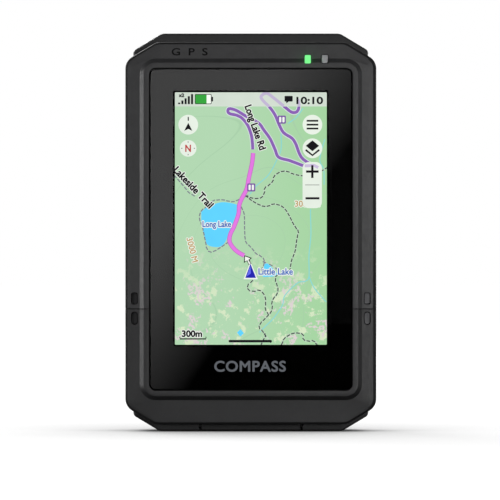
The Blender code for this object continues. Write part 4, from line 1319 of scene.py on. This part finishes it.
class GPSUNIT_OT_map(bpy.types.Operator):
    """Map on the screen: land, water, roads, trails, labels and the highlighted route"""

    bl_idname = "gps_unit.map"
    bl_label = "Screen Map"

    def execute(self, context):
        self.screen = context.scene.gps_screen
        glow = self.screen.brightness
        self.white = lit("map_white", (0.86, 0.9, 0.84), glow)
        self.black = lit("map_black", (0.012, 0.012, 0.014), glow)
        self.ground(context.scene.gps_finish.land)
        self.water(glow)
        self.ways(glow)
        self.trails(glow)
        self.labels(glow)
        self.position(glow)
        return {"FINISHED"}

    def ground(self, tone):
        wide, tall = screen_size(self.screen)
        filled(self.screen, "map_land", land_finish(self.screen, tone), 0,
               [(0, 0), (wide, 0), (wide, tall), (0, tall)], replaced=["lcd_panel", "touch_sensor"])

    def water(self, glow):
        pond = [(16.0, 3.1), (16.9, 4.0), (17.8, 3.0), (16.9, 2.1)]
        small = [(23.2, 20.9), (23.9, 21.0), (25.0, 20.0), (26.6, 18.0), (25.2, 17.6), (22.8, 17.5),
                 (22.3, 18.3), (22.9, 19.8)]
        filled(self.screen, "map_lakes", lit("map_water", (0.12, 0.64, 1.0), glow), 1, lake(), pond, small)

    def ways(self, glow):
        """Streams, roads, the highlighted route and the pale edges of the trails."""
        screen = self.screen
        dash, road, way = screen.dash_width, screen.road_width, screen.route_width
        for name, finish, tone, layer, width, paths in (
            ("map_streams", "map_stream", (0.25, 0.66, 0.64), 1.3, 0.00026, streams()),
            ("map_road_edges", "map_casing", (0.66, 0.74, 0.72), 2, road * 1.5, roads()),
            ("map_roads", "map_road", (0.25, 0.12, 0.44), 2.5, road, roads()),
            ("map_route_edge", "map_route_rim", (0.5, 0.13, 0.5), 3, way * 1.16, [route()]),
            ("map_route", "map_route_fill", (0.76, 0.19, 0.75), 3.5, way * 0.84, [route()]),
            ("map_trail_edges", "map_trail_rim", (0.5, 0.66, 0.5), 1.7, dash * 1.7, trail_paths()),
        ):
            lined(screen, name, lit(finish, tone, glow), layer, width, *paths)

    def trails(self, glow):
        """Dashed trails."""
        screen = self.screen
        depth = layer_depth(screen, 2.2)
        for name, paths, material in (
            ("map_trails", trail_paths(), lit("map_trail", (0.05, 0.06, 0.06), glow)),
            ("map_lakeside_trails", lakeside_paths(), lit("map_lakeside", (0.2, 0.2, 0.26), glow)),
        ):
            mesh = bmesh.new()
            for path in paths:
                line = []
                for x, z in smoothed(path, 6):
                    px, pz = screen_point(screen, x, z)
                    line.append(mesh.verts.new((px, depth, pz)))
                for pair in zip(line, line[1:]):
                    mesh.edges.new(pair)
            item = new_object(name, mesh)
            values = {
                "Pitch": screen.dash_pitch, "Dash Length": screen.dash_length,
                "Dash Width": screen.dash_width, "Material": material,
            }
            run_tree(item, dash_tree(), values)
            keep(item, name, "unit")

    def labels(self, glow):
        """Words and signs, each word over a pale halo."""
        screen = self.screen
        halo = Drawing(screen, "map_label_edges", self.white, 4)
        ink = Drawing(screen, "map_labels", self.black, 4.5)
        blue = Drawing(screen, "map_water_labels", lit("map_water_text", (0.07, 0.16, 0.5), glow), 4.5)
        sand = Drawing(screen, "map_height_labels", lit("map_height", (0.52, 0.36, 0.16), glow), 4.5)
        for drawing, words, size, x, z, turn, rim, bold in (
            (ink, "Long Lake Rd", (11.9, 2.35), 20.5, 56.0, 71, 0.27, 0.1),
            (ink, "Lakeside Trail", (13.4, 1.8), 4.8, 40.6, 46.5, 0.27, 0.1),
            (ink, "300m", (5.1, 1.6), 4.4, 2.85, 0, 0.27, 0.1),
            (blue, "Long Lake", (7.3, 1.95), 10.8, 30.9, 0, 0.27, 0.06),
            (blue, "Little Lake", (8.8, 1.6), 26.0, 18.9, 0, 0.27, 0.06),
            (sand, "3000 M", (6.4, 1.55), 4.5, 24.5, 76, 0.22, 0.05),
            (sand, "3000 M", (6.4, 1.55), 34.2, 36.4, 0, 0.22, 0.05),
        ):
            halo.text(words, size, x, z, turn, bold=rim)
            drawing.text(words, size, x, z, turn, bold=bold)
        ink.line([(1.3, 2.05), (1.3, 1.5), (8.0, 1.5), (8.0, 2.05)], 0.00032, steps=0)
        ink.area(rounded_box((19.45, 0.92), (11.2, 0.66), 0.32))
        for drawing in (blue, sand, ink, halo):
            drawing.done()
        signs = ((27.6, 58.1), (19.7, 40.6))
        boards = [rounded_box(place, (2.1, 2.1), 0.3) for place in signs]
        filled(screen, "map_signs", lit("map_sign", (0.2, 0.1, 0.36), glow), 4.2, *boards)
        bars = [rounded_box((x + side * 0.42, z), (0.55, 1.4), 0.2) for x, z in signs for side in SIDES]
        filled(screen, "map_sign_symbols", self.white, 4.4, *bars)

    def position(self, glow):
        """The unit's own place and the turn arrow above it."""
        navy, light = lit("map_navy", (0.02, 0.02, 0.42), glow), lit("map_blue", (0.13, 0.15, 0.85), glow)
        for name, material, layer, points in (
            ("map_position_edge", self.white, 5, [(17.7, 16.9), (21.4, 16.9), (19.5, 21.5)]),
            ("map_position", navy, 5.5, [(18.15, 17.25), (20.95, 17.25), (19.5, 20.9)]),
            ("map_position_light", light, 6, [(18.5, 17.6), (19.6, 18.4), (19.5, 20.5)]),
            ("map_turn_edge", self.black, 5, [
                (17.9, 23.1), (19.9, 22.4), (19.3, 21.9), (19.8, 20.9), (19.0, 20.6), (18.6, 21.6),
                (17.8, 21.1),
            ]),
            ("map_turn", self.white, 5.5, [
                (18.1, 22.8), (19.5, 22.3), (18.95, 21.9), (19.5, 21.0), (19.1, 20.8), (18.7, 21.8),
                (18.05, 21.5),
            ]),
        ):
            filled(self.screen, name, material, layer, points)


class GPSUNIT_OT_controls(bpy.types.Operator):
    """Status bar and round touch controls drawn over the map"""

    bl_idname = "gps_unit.controls"
    bl_label = "Screen Controls"

    def execute(self, context):
        screen = context.scene.gps_screen
        glow = screen.brightness
        pale = lit("control_pale", (0.78, 0.85, 0.76), glow)
        black = lit("control_black", (0.01, 0.01, 0.012), glow)
        self.bar(screen, black, glow)
        self.buttons(screen, pale, black, glow)
        return {"FINISHED"}

    def bar(self, screen, black, glow):
        """Signal, battery, message and clock over a pale band with a faded road under it."""
        wide, tall = screen_size(screen)
        low, middle = 61.5, 63.4
        filled(screen, "status_band", lit("status_pale", (0.63, 0.71, 0.62), glow), 2.6,
               [(0, low), (wide, low), (wide, tall), (0, tall)])
        lined(screen, "status_road", lit("faded_road", (0.53, 0.46, 0.64), glow), 3, screen.road_width,
              [(24.3, 61.5), (22.6, 63.2), (22.3, 64.2), (23.7, 64.9), (25.5, 63.7), (28.1, 61.6)],
              [(32.0, 61.6), (32.0, 62.4), (31.7, 63.4)])
        ink = Drawing(screen, "status_symbols", black, 4)
        for i, height in enumerate((0.4, 0.95, 1.5, 2.05, 2.6)):
            x, z = 1.1 + 0.83 * i, 62.1
            ink.area([(x - 0.27, z), (x + 0.27, z), (x + 0.27, z + height), (x - 0.27, z + height)])
        for place, size, radius in (
            ((7.3, middle), (4.3, 2.6), 0.25), ((9.65, middle), (0.4, 1.2), 0.1),
            ((29.35, 63.5), (2.1, 1.45), 0.2),
        ):
            ink.area(rounded_box(place, size, radius))
        ink.area([(28.7, 62.9), (29.5, 62.9), (28.8, 62.3)])
        ink.text("10:10", (6.7, 1.75), 34.8, 63.05, bold=0.1)
        ink.text("x2", (1.25, 0.85), 1.7, 64.4, bold=0.08)
        ink.done()
        filled(screen, "battery_symbol_gap", lit("battery_white", (0.9, 0.95, 0.88), glow), 4.5,
               rounded_box((7.3, middle), (3.96, 2.26), 0.12))
        filled(screen, "battery_symbol_charge", lit("battery_green", (0.04, 0.36, 0.05), glow), 5,
               rounded_box((6.75, middle), (2.86, 2.26), 0.12))

    def buttons(self, screen, pale, black, glow):
        """Place, compass, menu and layer discs, and the bar that holds plus and minus."""
        compass = Vector((3.4, 50.7))
        discs = (((3.45, 56.8), 2.55), (compass, 2.15), ((35.5, 56.8), 2.55), ((35.5, 50.7), 2.55))
        zoom = rounded_box((35.45, 41.2), (5.0, 11.9), 1.6, 10)
        filled(screen, "control_discs", pale, 5, *(circle(place, size, 48) for place, size in discs), zoom)
        lined(screen, "control_road", lit("control_road", (0.58, 0.5, 0.7), glow), 5.5, screen.road_width,
              [(33.5, 46.2), (34.6, 46.2), (35.8, 46.3), (37.0, 45.7)])
        ink = Drawing(screen, "control_symbols", black, 6)
        ink.area([(3.45, 57.3), (4.5, 55.2), (3.45, 55.7), (2.4, 55.2)])
        ink.area([(35.5, 52.75), (37.25, 51.35), (35.5, 49.95), (33.75, 51.35)])
        for path, width in (
            ([(3.45, 57.8), (3.45, 58.8)], 0.0003),
            *(([(34.0, 56.8 + step), (37.0, 56.8 + step)], 0.00046) for step in (-1, 0, 1)),
            ([(33.75, 50.3), (35.5, 48.9), (37.25, 50.3)], 0.00048),
            ([(33.85, 44.7), (37.1, 44.7)], 0.0006),
            ([(35.47, 43.05), (35.47, 46.35)], 0.0006),
            ([(33.7, 37.8), (37.3, 37.8)], 0.00056),
        ):
            ink.line(path, width, steps=0)
        ink.done()
        marks = Drawing(screen, "compass_marks", lit("control_grey", (0.2, 0.21, 0.2), glow), 6)
        for quarter in range(4):
            angle = math.radians(90 * quarter)
            tick = Vector((math.cos(angle), math.sin(angle)))
            marks.line([compass + tick * 1.45, compass + tick * 1.8], 0.00022, steps=0)
        marks.line([(33.6, 41.25), (37.3, 41.25)], 0.00016, steps=0)
        marks.done()
        north = Drawing(screen, "compass_letter", lit("control_red", (0.5, 0.06, 0.06), glow), 6)
        north.text("N", (1.35, 1.75), *compass, bold=0.07)
        north.done()


class GPSUNIT_OT_glass(bpy.types.Operator):
    """Cover glass, the black surround printed behind it and its lettering"""

    bl_idname = "gps_unit.glass"
    bl_label = "Cover Glass"

    word_width: length("Word width", "Width of the printed word", 0.0183)
    word_height: length("Word height", "Height of the printed word", 0.0027)

    def execute(self, context):
        case, screen = context.scene.gps_case, context.scene.gps_screen
        made = finishes()
        low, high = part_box("cover_glass")
        inset = -(case.opening_half_width - high.x)
        inner, outer = self.window(case, screen, 0.4 * MM), opening_outline(case, inset)
        loops = [placed(inner, "Y", low.y)]
        for shrink, lean in ((0.08, 0.0), (0.0, 0.08)):
            loops.append(placed(opening_outline(case, inset - shrink * MM), "Y", low.y + lean * MM))
        loops += [placed(outer, "Y", high.y), placed(inner, "Y", high.y)]
        glass = loft("cover_glass", loops, made["clear_glass"])
        glass.data.materials.append(made["ink_black"])
        glass.data.materials.append(made["coated_glass"])
        for face in glass.data.polygons:
            if abs(face.normal.y) < FLAT:
                face.material_index = 1
            elif len(face.vertices) > 4:
                face.material_index = 2
        keep(glass, "cover_glass_pane", "unit", ["cover_glass"])
        window, border = self.window(case, screen, 0.0), opening_outline(case, inset + 0.12 * MM)
        rows = [placed(window, "Y", high.y + depth * MM) for depth in (0.03, 0.07)]
        rows += [placed(border, "Y", high.y + depth * MM) for depth in (0.07, 0.03)]
        ink = loft("ink_surround", rows, made["ink_black"], ring=True)
        keep(ink, "ink_surround", "unit")
        self.lettering(high.y + 0.015 * MM, made["print_grey"])
        return {"FINISHED"}

    def window(self, case, screen, grow):
        """Outline of the lit area, with as many points as the pane's."""
        size = (screen.half_width, screen.bottom, screen.top)
        return rounded_outline(*size, 0.0, grow, case.crease_x, case.arc_steps)

    def lettering(self, depth, material):
        """The word printed under the lit area, self-lit as painted light."""
        thin = letters("word", "COMPASS", (self.word_width, self.word_height), spacing=1.08)
        mesh = bmesh.new()
        stamped(mesh, thin.data, 0.1 * MM, (-0.2 * MM, depth, 16.9 * MM))
        bpy.data.objects.remove(thin)
        word = new_object("glass_lettering", mesh, material)
        facing_front(word.data)
        keep(word, "glass_lettering", "unit")


# ---------------------------------------------------------------- stage

class GPSUNIT_OT_studio(bpy.types.Operator):
    """Pale floor, soft lights and the camera"""

    bl_idname = "gps_unit.studio"
    bl_label = "Studio"

    def execute(self, context):
        studio = context.scene.gps_studio
        context.scene.view_settings.view_transform = "Standard"
        self.camera(context.scene, studio)
        self.world(context.scene)
        self.floor()
        for name, place, size, energy in (
            ("left_strip", (-1.25, -0.08, 0.12), 0.5, studio.side_power),
            ("right_strip", (1.25, -0.2, 0.12), 0.5, studio.side_power / 8),
            ("front_light", (0.3, -0.9, 0.05), 0.4, studio.front_power),
            ("right_light", (0.95, -1.15, 0.03), 0.5, studio.fill_power * 0.82),
            ("left_light", (-0.95, -1.15, 0.03), 0.5, studio.fill_power),
            ("top_light", (0.15, -1.1, 1.0), 0.5, studio.fill_power / 10),
            ("back_light", (-0.7, 1.3, 0.9), 0.7, studio.back_power),
            ("back_fill", (0.9, 1.2, 0.2), 0.7, studio.back_power / 2),
        ):
            self.light(name, place, size, energy)
        self.glow()
        self.reflection(studio)
        return {"FINISHED"}

    def camera(self, scene, studio):
        """Level camera straight in front of the bezel's face."""
        data = bpy.data.cameras.new("studio_camera")
        data.sensor_width = 36
        data.lens = 36 * studio.distance / studio.frame_width
        data.clip_end = 50
        camera = bpy.data.objects.new("studio_camera", data)
        face_y = CAD_BOX[0][1] + MM
        camera.location = (studio.aim_x, face_y - studio.distance, studio.aim_z)
        camera.rotation_euler = (math.radians(90), 0, 0)
        scene.collection.objects.link(camera)
        scene.camera = camera

    def world(self, scene):
        """White where it is seen; a dim room where it lights, darker below and behind the camera."""
        world = bpy.data.worlds.new("studio_world")
        world.use_nodes = True
        nodes, links = world.node_tree.nodes, world.node_tree.links
        nodes.clear()
        output = nodes.new("ShaderNodeOutputWorld")
        mix = nodes.new("ShaderNodeMixShader")
        path = nodes.new("ShaderNodeLightPath")
        seen, dim = nodes.new("ShaderNodeBackground"), nodes.new("ShaderNodeBackground")
        where = axes(world.node_tree, "Generated")
        above = span(world.node_tree, where["Z"], -0.25, 0.35, 0.02, 0.14)
        ahead = span(world.node_tree, where["Y"], -0.96, -0.8)
        room = calculate(world.node_tree, "MULTIPLY", above, ahead)
        for node in (seen, dim):
            node.inputs["Color"].default_value = WHITE
        links.new(room, dim.inputs["Strength"])
        links.new(path.outputs["Is Camera Ray"], mix.inputs["Fac"])
        links.new(dim.outputs["Background"], mix.inputs[1])
        links.new(seen.outputs["Background"], mix.inputs[2])
        links.new(mix.outputs["Shader"], output.inputs["Surface"])
        scene.world = world

    def floor(self):
        """White floor that only darkens close to what stands on it, through a painted shadow in its glow."""
        mesh = bmesh.new()
        bmesh.ops.create_grid(mesh, x_segments=8, y_segments=8, size=6)
        floor = new_object("floor", mesh)
        material, tree, shader = shader_of("floor_white")
        set_inputs(shader, {
            "Base Color": (*grey(0.12), 1), "Emission Color": WHITE,
            "Roughness": 0.9, "Specular IOR Level": 0.0,
        })
        open_sky = tree.nodes.new("ShaderNodeAmbientOcclusion")
        open_sky.inputs["Distance"].default_value = SHADOW_REACH
        open_sky.samples = 8
        fade = calculate(tree, "POWER", open_sky.outputs["AO"], SHADOW_POWER)
        tree.links.new(fade, shader.inputs["Emission Strength"])
        floor.data.materials.append(material)
        floor.visible_glossy = False
        floor.visible_diffuse = False
        floor.visible_transmission = False

    def glow(self):
        """Faint green light that the status lamp throws on the face around it."""
        (x, z), _ = front_of("lamp_light_pipe")
        data = bpy.data.lights.new("lamp_glow", "POINT")
        data.color = (0.15, 1.0, 0.25)
        data.energy = 0.00013
        data.shadow_soft_size = 0.0006
        lamp = bpy.data.objects.new("lamp_glow", data)
        lamp.location = (x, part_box("lamp_light_pipe")[0].y - 0.5 * MM, z)
        bpy.context.scene.collection.objects.link(lamp)

    def light(self, name, place, size, power):
        """Round soft light that faces the middle of the unit."""
        data = bpy.data.lights.new(name, "AREA")
        data.shape = "DISK"
        data.size = size
        data.energy = power
        lamp = bpy.data.objects.new(name, data)
        lamp.location = place
        aim = Vector((0, 0, 0.05)) - Vector(place)
        lamp.rotation_euler = aim.to_track_quat("-Z", "Y").to_euler()
        bpy.context.scene.collection.objects.link(lamp)

    def reflection(self, studio):
        """Soft-edged panel behind the camera that only mirrors in glossy surfaces."""
        mesh = bmesh.new()
        behind = 0.7
        bmesh.ops.create_grid(mesh, x_segments=1, y_segments=1, size=0.6)
        place = Vector((-0.2, CAD_BOX[0][1] - studio.distance - behind, 0.25))
        turn = Matrix.Rotation(math.radians(-90), 4, "X")
        bmesh.ops.transform(mesh, matrix=Matrix.Translation(place) @ turn, verts=mesh.verts)
        panel = new_object("soft_panel", mesh)
        material, tree, shader = shader_of("soft_panel_light")
        set_inputs(shader, {"Base Color": BLACK, "Emission Color": WHITE})
        where = axes(tree, "Object")
        stretch = 1 + (studio.distance + behind) / studio.distance
        ends = (
            ("X", -0.0261 * stretch, 0.0255 * stretch, 0.93),
            ("Z", studio.aim_z + 0.0467 * stretch, studio.aim_z - 0.0359 * stretch, 1.0),
        )
        fades = [span(tree, where[axis], start, end, 0, reach, False) for axis, start, end, reach in ends]
        sheen = span(tree, calculate(tree, "ADD", *fades), 0.59, 1.18, 1.25, 0.0)
        tree.links.new(sheen, shader.inputs["Emission Strength"])
        panel.data.materials.append(material)
        panel.visible_camera = False
        panel.visible_diffuse = False
        panel.visible_shadow = False
        panel.visible_transmission = False


OPERATORS = (
    GPSUNIT_OT_frame_finishes, GPSUNIT_OT_bezels, GPSUNIT_OT_windows, GPSUNIT_OT_rear,
    GPSUNIT_OT_fasteners, GPSUNIT_OT_spine, GPSUNIT_OT_buttons, GPSUNIT_OT_cap, GPSUNIT_OT_map,
    GPSUNIT_OT_controls, GPSUNIT_OT_glass, GPSUNIT_OT_studio,
)


class GPSUNIT_PT_panel(bpy.types.Panel):
    """Sidebar panel that lists the pieces"""

    bl_label = "Navigation Unit"
    bl_idname = "GPSUNIT_PT_panel"
    bl_space_type = "VIEW_3D"
    bl_region_type = "UI"
    bl_category = "Navigation Unit"

    def draw(self, context):
        for group in ("gps_case", "gps_screen", "gps_finish", "gps_studio"):
            box = self.layout.box()
            settings = getattr(context.scene, group)
            for name in settings.__annotations__:
                box.prop(settings, name)
        for operator in OPERATORS:
            self.layout.operator(operator.bl_idname)


SETTINGS = {
    "gps_case": GPSUNIT_PG_case, "gps_screen": GPSUNIT_PG_screen,
    "gps_finish": GPSUNIT_PG_finish, "gps_studio": GPSUNIT_PG_studio,
}


def register():
    for group in SETTINGS.values():
        bpy.utils.register_class(group)
    for name, group in SETTINGS.items():
        setattr(bpy.types.Scene, name, PointerProperty(type=group))
    for operator in OPERATORS:
        bpy.utils.register_class(operator)
    bpy.utils.register_class(GPSUNIT_PT_panel)


def unregister():
    bpy.utils.unregister_class(GPSUNIT_PT_panel)
    for operator in reversed(OPERATORS):
        bpy.utils.unregister_class(operator)
    for name, group in reversed(SETTINGS.items()):
        delattr(bpy.types.Scene, name)
        bpy.utils.unregister_class(group)


def main():
    register()
    for operator in OPERATORS:
        group, name = operator.bl_idname.split(".")
        getattr(getattr(bpy.ops, group), name)()


if __name__ == "__main__":
    main()
